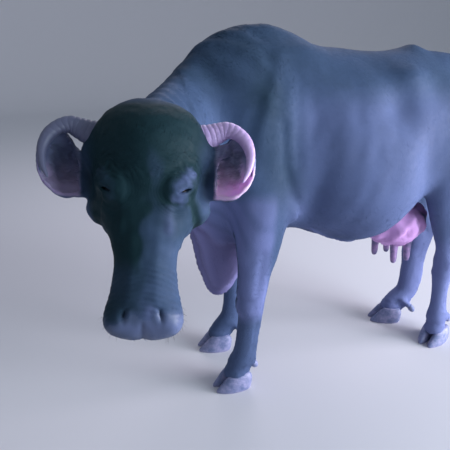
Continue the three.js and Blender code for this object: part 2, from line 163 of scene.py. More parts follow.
def closeRows(rows):
    # rows of points round a form: quads between rows, and a fan on each end row
    count, sides = rows.shape[:2]
    grid = np.arange(count * sides).reshape(count, sides)
    near, far = grid[:-1], grid[1:]
    quads = np.stack([near, np.roll(near, -1, 1), np.roll(far, -1, 1), far], -1).reshape(-1, 4)
    first, last = count * sides, count * sides + 1
    top = np.stack([np.full(sides, first), np.roll(grid[0], -1), grid[0]], -1)
    end = np.stack([np.full(sides, last), grid[-1], np.roll(grid[-1], -1)], -1)
    points = np.vstack([rows.reshape(-1, 3), rows[0].mean(0), rows[-1].mean(0)])
    return points, quads, np.vstack([top, end])


def loft(stations, upright=(0, 0, 1), facing=None, sides=64, rings=90, crown=2, keel=2, grow=0, shape=None):
    # superellipse sections carried along a curve. A station is x, y, z, side, over, under: its centre,
    # its half width and its reach over and under the centre. Powers above 2 square a half section.
    s = np.asarray(stations, float)
    t = np.linspace(0, 1, rings + 1)
    centre = catmull(s[:, :3], t)
    size = catmull(s[:, 3:], t) + grow
    ahead = catmull(s[:, :3], np.minimum(t + 1e-4, 1)) - catmull(s[:, :3], np.maximum(t - 1e-4, 0))
    along = unit(ahead) if facing is None else np.tile(unit(facing), (rings + 1, 1))
    across = unit(np.cross(np.asarray(upright, float), along))
    up = np.cross(along, across)
    angle = 2 * np.pi * (np.arange(sides) + 0.5) / sides
    power = 2 / np.where(np.sin(angle) > 0, crown, keel)
    wide = signedPower(np.cos(angle), power)
    tall = signedPower(np.sin(angle), power)
    reach = np.where(np.sin(angle)[None, :] > 0, size[:, 1:2], size[:, 2:3])
    wave = 1 if shape is None else shape(t[:, None], angle[None, :])
    rows = centre[:, None] + across[:, None] * (size[:, :1] * wide * wave)[..., None]
    rows = rows + up[:, None] * (reach * tall * wave)[..., None]
    rows[0] -= along[0] * grow
    rows[-1] += along[-1] * grow
    return closeRows(rows)


def swell(points, spots):
    # each spot pushes what is near it: push times exp of minus the squared distance over the reach
    moved = points.copy()
    for at, reach, push in spots:
        far = (((points - np.array(at)) / np.array(reach)) ** 2).sum(1)
        moved += np.exp(-far)[:, None] * np.array(push, float)
    return moved


def bothSides(spots):
    # each spot of her left side, and its mirror image on the right
    return spots + [(at * flipSide, reach, push * flipSide) for at, reach, push in spots]


# The forms under the skin; each is lofted a little inside its solid
coatDepth = -2.5
forms = {
    "torso": [  # x, top, floor, half width, height of the widest place
        (645, 1010, 790, 60, 900), (622, 1130, 720, 120, 900), (575, 1262, 665, 180, 910),
        (520, 1345, 640, 212, 920), (440, 1382, 636, 228, 920), (350, 1390, 640, 240, 910),
        (250, 1368, 636, 268, 890), (150, 1326, 602, 304, 870), (40, 1313, 560, 330, 860),
        (-60, 1307, 570, 338, 865), (-150, 1305, 606, 318, 890), (-240, 1312, 672, 286, 940),
        (-345, 1304, 770, 258, 1000), (-460, 1296, 800, 236, 1030), (-560, 1268, 860, 196, 1050),
        (-640, 1222, 930, 146, 1070), (-690, 1160, 1000, 84, 1080), (-706, 1110, 1050, 30, 1082),
    ],
    "torsoMiddleSpots": [
        ((-285, 0, 1330), (42, 70, 60), (0, 0, 20)),  # peak of the rump
        ((360, 0, 1400), (190, 60, 60), (0, 0, 6)),  # withers ridge
    ],
    "torsoSideSpots": [
        ((-150, 225, 1225), (70, 80, 60), (0, 28, 34)),  # hook bone
        ((-70, 285, 1120), (80, 90, 95), (0, -50, -4)),  # hollow of the flank
        ((-180, 300, 900), (60, 90, 120), (0, -26, 0)),  # fold in front of the thigh
        ((-665, 95, 1135), (45, 55, 50), (-22, 34, 8)),  # pin bone
        ((-470, 180, 1250), (120, 70, 60), (0, -22, -14)),  # slope of the croup
        ((460, 205, 980), (110, 80, 190), (0, 26, 0)),  # shoulder
        ((560, 170, 900), (70, 70, 70), (16, 22, 0)),  # point of the shoulder
        ((255, 250, 1150), (70, 90, 150), (0, -22, 0)),  # behind the shoulder blade
        ((250, 262, 780), (48, 90, 130), (0, -26, 0)),  # girth behind the elbow
        ((400, 70, 1350), (160, 40, 40), (0, -10, -6)),  # side of the withers ridge
    ],
    "head": [  # x, brow, jaw, half width, height of the widest place
        (-50, -86, 116, 22, -100), (-34, -46, 142, 68, -88), (-10, -12, 166, 100, -78),
        (20, 18, 184, 119, -70), (50, 33, 194, 125, -62), (84, 42, 204, 126, -60),
        (125, 40, 214, 123, -60), (172, 28, 226, 114, -62), (215, 14, 232, 103, -68),
        (265, 4, 220, 92, -74), (320, 0, 190, 82, -72), (380, 0, 160, 77, -68),
        (436, 5, 146, 82, -64), (482, 7, 140, 92, -60), (518, -3, 134, 95, -60),
        (544, -22, 122, 78, -66), (560, -50, 100, 38, -74),
    ],
    "headMiddleSpots": [
        ((90, 0, 40), (80, 70, 60), (0, 0, 8)),  # dome of the forehead
        ((540, 0, -40), (26, 16, 40), (-6, 0, -3)),  # groove under the nose
        ((560, 0, -126), (50, 90, 46), (-30, 0, 6)),  # lower lip, shorter than the nose
    ],
    "headSideSpots": [
        ((188, 98, -22), (38, 34, 34), (2, 16, 16)),  # brow over the eye
        ((238, 92, -48), (28, 28, 34), (0, 9, 6)),  # under the eye
        ((244, 108, -152), (72, 60, 72), (0, 84, -6)),  # cheek and jaw angle
        ((88, 128, -92), (60, 44, 48), (0, 46, 0)),  # root of the horn
        ((296, 68, -36), (46, 30, 30), (0, 8, 3)),  # ridge below the eye
        ((322, 72, -118), (56, 40, 40), (0, -10, 0)),  # hollow of the cheek
        ((508, 62, -26), (30, 26, 26), (8, 8, 10)),  # wing of the nostril
        ((498, 70, -118), (40, 40, 20), (0, 9, -4)),  # lip
    ],
    "neck": [
        (420, 0, 1010, 165, 335, 330), (520, 5, 1000, 164, 345, 320), (606, 36, 990, 154, 318, 300),
        (690, 100, 990, 138, 262, 250), (772, 205, 998, 122, 212, 205), (842, 335, 1010, 112, 176, 172),
        (888, 460, 1020, 104, 142, 148), (912, 545, 1015, 86, 100, 104),
    ],
    "brisket": [
        (582, 34, 860, 92, 80, 150), (564, 30, 740, 88, 100, 160), (540, 28, 620, 78, 104, 138),
        (540, 28, 520, 66, 88, 108), (546, 28, 446, 54, 62, 74), (548, 28, 400, 36, 38, 44),
        (548, 28, 386, 16, 16, 18),
    ],
    "udder": [
        (-132, 16, 626, 44, 30, 34), (-162, 18, 608, 96, 70, 66), (-217, 22, 602, 126, 96, 104),
        (-282, 26, 610, 134, 110, 120), (-334, 26, 636, 108, 96, 100), (-370, 24, 676, 54, 56, 54),
    ],
    "tailRoot": [
        (-560, 0, 1196, 34, 22, 26), (-660, 0, 1196, 34, 28, 30), (-714, 0, 1150, 32, 30, 30),
        (-736, 2, 1060, 25, 24, 24), (-741, 5, 950, 12, 12, 12),
    ],
    "ear": [
        (168, 106, -134, 28, 24, 24), (160, 134, -128, 42, 27, 26), (152, 160, -120, 54, 36, 32),
        (144, 184, -108, 66, 44, 38), (130, 207, -92, 84, 50, 44), (126, 233, -72, 76, 42, 40),
        (126, 255, -58, 50, 28, 26), (126, 268, -50, 16, 10, 10),
    ],
    "earRoot": [  # of her left ear only
        (96, 96, -116, 30, 22, 22), (86, 140, -108, 22, 18, 18), (80, 176, -98, 17, 14, 14),
        (88, 204, -88, 10, 8, 8),
    ],
    "cup": [
        (164, 172, -92, 30, 36, 18), (142, 192, -80, 58, 60, 30), (130, 211, -66, 74, 66, 38),
        (126, 234, -50, 66, 60, 34), (126, 256, -38, 39, 46, 20),
    ],
}
feet = {  # each foot's middle on the ground and its turn to her left; where the dewclaws hang
    "foreleg_left": {"at": (516, 126), "turn": 2, "heel": (-84, 92)},
    "foreleg_right": {"at": (494, -164), "turn": -8, "heel": (-112, 84)},
    "hindleg_left": {"at": (-497, 132), "turn": 22, "heel": (-70, 92)},
    "hindleg_right": {"at": (-405, -112), "turn": -20, "heel": (-122, 62)},
}
legs = {
    "foreleg_left": [
        (452, 150, 950, 66, 106, 112), (450, 172, 860, 82, 104, 118), (440, 180, 770, 80, 96, 114),
        (436, 182, 690, 70, 92, 96), (438, 180, 610, 60, 86, 84), (448, 178, 510, 52, 70, 62),
        (458, 176, 420, 53, 62, 54), (460, 175, 370, 48, 56, 50), (463, 168, 310, 37, 50, 48),
        (467, 156, 230, 34, 48, 48), (470, 144, 165, 38, 52, 52), (478, 136, 125, 44, 54, 54),
        (492, 131, 92, 48, 54, 54), (502, 128, 62, 50, 56, 52), (506, 126, 40, 44, 46, 42),
    ],
    "foreleg_right": [
        (452, -150, 950, 66, 106, 112), (450, -172, 860, 82, 104, 118), (436, -178, 770, 80, 96, 114),
        (428, -178, 690, 70, 92, 96), (422, -176, 610, 60, 84, 82), (418, -172, 510, 52, 68, 60),
        (414, -169, 420, 53, 60, 54), (410, -168, 370, 48, 56, 50), (406, -167, 310, 37, 50, 48),
        (406, -166, 230, 34, 48, 48), (412, -165, 165, 38, 52, 52), (430, -164, 122, 44, 54, 54),
        (456, -164, 90, 48, 54, 54), (476, -164, 62, 50, 56, 52), (484, -164, 40, 44, 46, 42),
    ],
    "hindleg_left": [
        (-430, 100, 1180, 44, 80, 90), (-430, 140, 1090, 78, 140, 160), (-430, 174, 970, 102, 196, 222),
        (-425, 182, 850, 94, 176, 205), (-430, 182, 740, 80, 136, 160), (-448, 172, 640, 64, 104, 120),
        (-470, 156, 545, 50, 74, 88), (-486, 142, 470, 43, 58, 82), (-500, 132, 410, 46, 56, 70),
        (-502, 128, 345, 42, 52, 52), (-503, 126, 280, 34, 43, 46), (-504, 125, 210, 33, 42, 46),
        (-504, 126, 160, 38, 46, 50), (-505, 127, 125, 44, 50, 52), (-503, 129, 92, 46, 50, 52),
        (-499, 131, 62, 50, 54, 50), (-498, 132, 40, 44, 46, 42),
    ],
    "hindleg_right": [
        (-440, -100, 1180, 44, 80, 90), (-445, -140, 1090, 78, 140, 155), (-452, -174, 970, 102, 196, 208),
        (-455, -180, 850, 94, 176, 190), (-470, -176, 740, 80, 140, 150), (-495, -160, 640, 64, 106, 118),
        (-520, -140, 545, 50, 78, 92), (-540, -122, 470, 43, 62, 86), (-546, -116, 410, 46, 66, 76),
        (-542, -114, 345, 44, 66, 64), (-538, -114, 280, 36, 58, 60), (-532, -114, 205, 35, 54, 62),
        (-522, -114, 150, 38, 52, 54), (-500, -114, 112, 44, 54, 52), (-462, -113, 84, 48, 56, 52),
        (-430, -112, 62, 50, 56, 50), (-416, -112, 40, 44, 46, 42),
    ],
}
dewclawAside = 25  # from the middle of the foot
flipSide = np.array([1, -1, 1])


def arrays(spots):
    # the spots of a form as arrays that can be mirrored
    return [tuple(np.array(part, float) for part in spot) for spot in spots]


def torsoForm():
    # sections from the chest back, each measured from its widest place up to the top and down to the floor
    stations = [(x, 0, w, half, top - w, w - floor) for x, top, floor, half, w in forms["torso"]]
    make = {"sides": 90, "rings": 110, "crown": 1.8, "keel": 2.2, "grow": coatDepth}
    p, quads, fans = loft(stations, facing=(-1, 0, 0), **make)
    spots = arrays(forms["torsoMiddleSpots"]) + bothSides(arrays(forms["torsoSideSpots"]))
    return swell(p, spots), quads, fans


def headForm():
    # sections down the face, from the poll to the nose, swollen at the brows, cheeks and lips
    stations = [(x, 0, w, half, brow - w, jaw + w) for x, brow, jaw, half, w in forms["head"]]
    p, quads, fans = loft(stations, facing=(1, 0, 0), sides=110, rings=130, crown=2.15, keel=2.1, grow=-1.5)
    spots = arrays(forms["headMiddleSpots"]) + bothSides(arrays(forms["headSideSpots"]))
    return fromHead(swell(p, spots)), quads, fans


def legForm(name):
    # sections down the leg, turned with the foot; the hind leg is pushed out at the hock
    turn = math.radians(feet[name]["turn"] * 0.6)
    upright = (math.cos(turn), math.sin(turn), 0)
    p, quads, fans = loft(legs[name], upright, sides=48, rings=120, keel=1.9, grow=-1.5)
    if name.startswith("hind"):
        x, y = legs[name][7][:2]
        p = swell(p, [((x - 80, y, 450), (30, 40, 36), (-20, 0, 12))])  # point of the hock
    return p, quads, fans


def onSide(form, side):
    # a form given in the head frame for her left side, placed on her left or right
    p, quads, fans = form
    if side > 0:
        return fromHead(p), quads, fans
    return fromHead(p * flipSide), quads[:, ::-1], fans[:, ::-1]


# the eye's own directions, in the head frame: along the slit, up her brow, out along her gaze
eyeLook = unit(eye["look"])
slit = unit(np.cross(eyeLook, (1, 0, 0)))
lift = unit(np.cross(eyeLook, slit))


def lidOpening(along, up):
    # signed distance to an almond: the overlap of two circles, turned a little down at the inner corner
    c, s = math.cos(eye["slant"]), math.sin(eye["slant"])
    a, u = along * c + up * s, -along * s + up * c
    sides = []
    for sign, height in ((1, eye["openUp"]), (-1, eye["openDown"])):
        circle = (eye["corner"] ** 2 + height**2) / (2 * height)
        sides.append(np.hypot(a, u - sign * (height - circle)) - circle)
    return np.maximum(*sides)


# Distance fields: closed forms are turned into signed distances, blended and skinned
def fieldOf(form, cell, reach):
    # signed distance to a closed form on a grid of cells, cut off at the reach
    points, quads, fans = form
    low = points.min(0) - reach - cell
    size = np.ceil((np.ptp(points, axis=0) + 2 * reach + 2 * cell) / cell).astype(int)
    corners = np.vstack([quads[:, :3], quads[:, [0, 2, 3]], fans]).astype(np.uint32)
    level = openvdb.FloatGrid.createLevelSetFromPolygons(
        ((points - low) / cell).astype(np.float32),
        triangles=corners,
        transform=openvdb.createLinearTransform(voxelSize=1.0),
        halfWidth=reach / cell,
    )
    values = np.full(size, reach / cell, np.float32)
    level.copyToArray(values)
    return low, cell, values * cell


def sample(field, points):
    # reads a field between its cells, weighting the eight around each point
    low, cell, values = field
    q = np.clip((points - low) / cell, 0, np.array(values.shape) - 1.001)
    i = q.astype(np.int32)
    f = (q - i).astype(np.float32)
    flat = values.ravel()
    ny, nz = values.shape[1], values.shape[2]
    base = (i[:, 0] * ny + i[:, 1]) * nz + i[:, 2]
    total = np.zeros(len(points), np.float32)
    for dx in (0, 1):
        wx = f[:, 0] if dx else 1 - f[:, 0]
        for dy in (0, 1):
            wxy = wx * (f[:, 1] if dy else 1 - f[:, 1])
            for dz in (0, 1):
                w = wxy * (f[:, 2] if dz else 1 - f[:, 2])
                total += w * flat[base + (dx * ny + dy) * nz + dz]
    return total


def blendMin(a, b, width):
    # the nearer of two forms, with a fillet of that width where they meet
    h = np.maximum(width - np.abs(a - b), 0) / width
    return np.minimum(a, b) - h * h * width / 4


# The grid's cells are small round the head and grow with the distance from it
skinGrid = {
    "middle": (886, 556, 950), "near": 295, "far": 410, "times": 2.85, "beyond": 0.82,
    "cell": 13.7, "edge": 60,
}
gridRadii = np.linspace(0, 3200, 3201)
closeShare = 1 - smooth(skinGrid["near"], skinGrid["far"], gridRadii)
growth = skinGrid["beyond"] + (skinGrid["times"] - skinGrid["beyond"]) * closeShare
stretchedRadii = np.concatenate([[0], np.cumsum((growth[1:] + growth[:-1]) / 2)])


def stretch(points):
    # each point moves out from the grid's middle to its stretched radius
    d = points - np.array(skinGrid["middle"])
    r = np.maximum(np.linalg.norm(d, axis=-1, keepdims=True), 1e-6)
    return d / r * np.interp(r, gridRadii, stretchedRadii)


def unstretch(points):
    # the way back, from a stretched radius to the real one
    r = np.maximum(np.linalg.norm(points, axis=-1, keepdims=True), 1e-6)
    return points / r * np.interp(r, stretchedRadii, gridRadii) + np.array(skinGrid["middle"])


nostril = {"at": (492, 42, 2), "slant": 0.34, "bend": 0.014, "long": 16, "wide": 3.3, "deep": 14}


def dewclawPad(foot, out):
    # the lump of skin a dewclaw hangs from: round sections from inside the pastern, back and down to it
    back, up = foot["heel"]
    spots = [(back + 58, 0.5 * out, up + 50), (back + 34, 0.8 * out, up + 38), (back + 16, out, up + 27)]
    spots.append((back + 7, out, up + 19))
    placed = placeFlat(np.array(spots), *foot["at"], 0, foot["turn"])
    girths = (15, 17, 15.5, 12)
    return loft([(*spot, girth, girth, girth) for spot, girth in zip(placed, girths)], sides=24, rings=20)


def skinSurface():
    # every form of flesh as [form, cell, blend]; ears have their cups and the head its sockets cut out
    torso, headShape = torsoForm(), headForm()
    joins = [(torso, 12, 60), (loft(forms["neck"], crown=1.75, keel=1.6, grow=coatDepth), 12, 80)]
    joins.append((loft(forms["brisket"], (1, 0, 0), grow=coatDepth), 10, 60))
    joins += [(legForm(name), 7, 42) for name in legs]
    for foot in feet.values():
        joins += [(dewclawPad(foot, out), 5, 14) for out in (dewclawAside, -dewclawAside)]
    joins.append((loft(forms["udder"], grow=-1.5), 9, 34))
    joins.append((loft(forms["tailRoot"], (1, 0, 0.3), sides=32, rings=60), 7, 30))
    joins.append((headShape, 5, 36))
    joins.append((onSide(loft(forms["earRoot"], facing=(0, 1, 0), sides=32, rings=30), 1), 5, 20))
    earForms = []
    for side in (1, -1):
        outside = onSide(loft(forms["ear"], facing=(0, 1, 0), sides=72, rings=80, grow=-1), side)
        cup = onSide(loft(forms["cup"], facing=(0, 1, 0), sides=72, rings=80), side)
        earForms.append((outside, cup))
    everything = stretch(np.vstack([form[0] for form, _, _ in joins] + [ear[0][0] for ear in earForms]))
    low, high = everything.min(0) - 40, everything.max(0) + 40
    size = np.ceil((high - low) / skinGrid["cell"]).astype(int)
    steps = [low[a] + skinGrid["cell"] * np.arange(size[a]) for a in range(3)]
    nodes = np.stack(np.meshgrid(*steps, indexing="ij"), -1).reshape(-1, 3).astype(np.float32)
    nodes = unstretch(nodes).astype(np.float32)
    field = np.full(len(nodes), skinGrid["edge"], np.float32)
    print("skin grid:", size, len(nodes), "cells")

    def near(form, margin):
        # the numbers of the grid's nodes inside the form's box and a margin round it
        low, high = form[0].min(0) - margin, form[0].max(0) + margin
        inside = np.ones(len(nodes), bool)
        for a in range(3):
            inside &= (nodes[:, a] > low[a]) & (nodes[:, a] < high[a])
        return np.flatnonzero(inside)

    for form, cell, width in joins:
        reach = min(skinGrid["edge"], max(width, 3 * cell))
        spots = near(form, reach)
        distance = sample(fieldOf(form, cell, reach), nodes[spots])
        field[spots] = blendMin(field[spots], distance, width)
    for outside, cup in earForms:
        spots = near(outside, 20)
        shell = sample(fieldOf(outside, 3.5, 22), nodes[spots])
        hollow = sample(fieldOf(cup, 3.5, 22), nodes[spots])
        shell = -blendMin(-shell, hollow, 5)
        field[spots] = blendMin(field[spots], shell, 20)
    h = toHead(nodes)
    for side in (1, -1):
        # the lids are a layer over the ball, blended into the brow, with an almond opening cut through
        close = np.flatnonzero(np.linalg.norm(h - np.array(eye["at"]) * (1, side, 1), axis=1) < 60)
        toBall = (h[close] * (1, side, 1) - np.array(eye["at"], float)) @ np.stack([slit, lift, eyeLook], -1)
        layer = np.linalg.norm(toBall / (1.12, 1.0, 1.0), axis=1) - eye["radius"] - eye["lid"]
        field[close] = blendMin(field[close], layer, 36)
        cut = np.maximum(lidOpening(toBall[:, 0], toBall[:, 1]), 8 - toBall[:, 2])
        field[close] = -blendMin(-field[close], cut, 3)
        # the nostril, a comma that runs in towards the middle of the nose
        x, y, z = nostril["at"]
        close = np.flatnonzero(np.linalg.norm(h - np.array([x, y * side, 0]), axis=1) < 70)
        d = h[close] * (1, side, 1) - np.array([x, y, z])
        c, s = math.cos(nostril["slant"]), math.sin(nostril["slant"])
        along = d[:, 0] * c + d[:, 1] * s
        aside = -d[:, 0] * s + d[:, 1] * c + nostril["bend"] * along**2
        reach = [along / nostril["long"], aside / nostril["wide"], d[:, 2] / nostril["deep"]]
        hole = np.linalg.norm(np.stack(reach, -1), axis=1)
        field[close] = -blendMin(-field[close], (hole - 1) * nostril["wide"], 5)
    level = openvdb.FloatGrid(skinGrid["edge"])
    level.copyFromArray(field.reshape(size))
    found, quads = level.convertToQuads(isovalue=0)
    points = unstretch(found.astype(float) * skinGrid["cell"] + low)
    return points, quads.astype(np.int64)


def faceNormals(points, quads):
    # the cross product of a quad's diagonals, twice its area long
    return np.cross(points[quads[:, 2]] - points[quads[:, 0]], points[quads[:, 3]] - points[quads[:, 1]])


def pointNormals(points, quads):
    # the sum of the normals of the quads round a point, made one long
    normals = np.zeros_like(points)
    across = faceNormals(points, quads)
    for corner in range(4):
        np.add.at(normals, quads[:, corner], across)
    return unit(normals)


def keepLargest(points, quads):
    # labels spread along the edges until each loose surface has one; the biggest surface stays
    label = np.arange(len(points))
    while True:
        low = label[quads].min(1)
        new = label.copy()
        np.minimum.at(new, quads.ravel(), np.repeat(low, 4))
        new = new[new]
        if (new == label).all():
            break
        label = new
    count = np.bincount(label, minlength=len(points))
    keep = label == count.argmax()
    number = np.cumsum(keep) - 1
    return points[keep], number[quads[keep[quads].all(1)]]


skinPoints, skinQuads = skinSurface()
volume = (faceNormals(skinPoints, skinQuads) * skinPoints[skinQuads].mean(1)).sum()
if volume < 0:
    skinQuads = skinQuads[:, ::-1]
skinPoints, skinQuads = keepLargest(skinPoints, skinQuads)
print("skin:", len(skinPoints), "points", len(skinQuads) * 2, "triangles")


# Folds, bones and veins, as pushes along the skin's normal
def ripple(points, wave, count, seed):
    # a sum of sine waves in seeded directions, about one high
    rng = np.random.default_rng(seed)
    ways = unit(rng.normal(size=(count, 3))) * (2 * np.pi / (wave * rng.uniform(0.7, 1.5, (count, 1))))
    phases = rng.uniform(0, 2 * np.pi, count)
    return np.sin(points @ ways.T + phases).sum(1) / math.sqrt(count / 2)


def nearPath(points, path):
    # the distance from each point to a line of straight steps
    path = np.asarray(path, float)
    best = np.full(len(points), 1e9)
    for a, b in zip(path[:-1], path[1:]):
        step = b - a
        t = np.clip((points - a) @ step / (step @ step), 0, 1)
        best = np.minimum(best, np.linalg.norm(points - a - t[:, None] * step, axis=1))
    return best


def ridge(points, path, width):
    # a bell across a line of straight steps, 1 on the line
    return bell(nearPath(points, path), 0, width)


def folded(points):
    # her right side laid on her left one
    return np.stack([points[:, 0], np.abs(points[:, 1]), points[:, 2]], -1)


def briskFold(points):
    # upright folds of the brisket: a cosine across her, every 44 mm, that leans and waves with the height
    x, y, z = points.T
    return np.cos(2 * np.pi * (y - 28 + 0.12 * (z - 600) + 8 * np.sin(z / 60)) / 44)


def fromMilkVein(points):
    # the distance across to a vein that winds by a sine along each side of the belly
    return np.abs(np.abs(points[:, 1]) - 138 - 12 * np.sin(points[:, 0] / 27))


def band(value, low, high, edge):
    # 1 between low and high, fading to 0 over the edge
    return smooth(low - edge, low, value) * (1 - smooth(high, high + edge, value))


eyeFolds = {  # lines on the left of the face: the swollen upper lid, the grooves about the eye and the cheek
    "upperLid": [(204, 76, 2), (186, 90, 3), (166, 104, -1)],
    "orbit": [(222, 48, 6), (190, 46, 18), (160, 56, 20), (138, 78, 16), (124, 106, -6)],
    "lowerLid": [(230, 58, -2), (236, 78, -8), (230, 102, -24)],
    "tear": [(234, 56, 0), (260, 56, -4), (296, 56, -11)],
    "cheek": [(214, 110, -20), (230, 118, -42), (250, 124, -74), (270, 126, -112), (284, 122, -140)],
}


def headDetail(points, normals):
    # pushes in millimetres, summed: bells across the folds' lines, and sines where folds repeat
    h = toHead(points)
    x, y, z = h.T
    face = band(np.linalg.norm(points - np.array(skinGrid["middle"]), axis=1), -1, 300, 60)
    face = face * smooth(-60, 20, x)
    s = folded(h)
    push = np.zeros(len(points))
    toEye = s - np.array(eye["at"], float)
    far = np.linalg.norm(toEye, axis=1)
    above = smooth(0.0, 0.75, -toEye[:, 0] / np.maximum(far, 1))
    below = smooth(0.1, 0.8, toEye[:, 0] / np.maximum(far, 1))
    uneven = far + 5 * ripple(s, 46, 8, 8)
    push += 1.3 * np.cos(2 * np.pi * (uneven - 40) / 13) * band(far, 40, 82, 14) * above
    push += 1.0 * np.cos(2 * np.pi * (uneven - 36) / 13) * band(far, 34, 50, 10) * below
    push += 3.0 * ridge(s, eyeFolds["upperLid"], 15)
    push -= 1.5 * ridge(s, eyeFolds["orbit"], 11)
    push += 4.0 * ridge(s, [(216, 52, 4), (196, 52, 10), (178, 60, 12)], 12)
    push -= 2.0 * ridge(s, eyeFolds["lowerLid"], 5)
    push += 4.5 * ridge(s, eyeFolds["tear"], 12)
    push -= 11.0 * ridge(s, eyeFolds["cheek"], 14)
    line = -100 + (x - 492) * 0.182  # the mouth
    lips = smooth(424, 446, x)
    push -= 7 * bell(z, line, 4.6) * lips
    push += 3.4 * bell(z, line + 12, 8) * lips
    push += 3.0 * bell(z, line - 13, 9) * lips
    push += 3 * ridge(s, [(226, 92, -62), (276, 92, -84), (342, 80, -96)], 12)  # cheek ridge
    vein = [(228, 66, -14), (262, 72, -36), (300, 78, -62), (330, 79, -92), (352, 76, -128)]
    push += 2.0 * ridge(s, vein, 4.5)
    push += 2.6 * ridge(s, [(240, 40, 6), (300, 34, 2), (380, 30, 2), (452, 34, 8)], 13)  # nose bones
    rim = np.linalg.norm((s - np.array([494, 44, 4])) / np.array([26, 15, 24]), axis=1)
    push += 1.1 * bell(rim, 1, 0.36)
    groove = bell(s[:, 1], 0, 4) * band(x, 520, 560, 14) * (z > -92)
    push -= 3 * groove
    sides = band(s[:, 1], 66, 120, 12) * band(x, 400, 505, 20)
    push += 1.1 * np.sin(2 * np.pi * (x + 0.5 * z) / 15) * sides * band(z, -90, -20, 16)  # folds by the nose
    top = band(x, 396, 486, 24) * (1 - smooth(40, 66, s[:, 1]))
    push += 0.8 * np.sin(2 * np.pi * (x + 6 * np.cos(y / 19)) / 13) * top * smooth(-40, -10, z)
    push += 0.5 * ripple(s, 34, 14, 3) * (1 - smooth(480, 510, x))
    # the ear: ridges run along the inside of the cup, and veins along its back
    ear = band(s[:, 1], 176, 262, 12) * band(x, 60, 206, 8)
    inside = smooth(0.1, 0.5, (normals @ headTurn)[:, 2]) * ear
    push += 1.3 * np.cos(2 * np.pi * (x - 128) / 26) * inside * band(s[:, 1], 150, 232, 20)
    push += 0.8 * ripple(s, 26, 10, 5) * ear
    return push * face, h, face, inside * face


# the hollow between the upper arm and the ribs, on the left and mirrored
armCrease = [(378, 230, 1080), (378, 242, 1000), (372, 250, 930), (336, 238, 825), (298, 214, 770)]


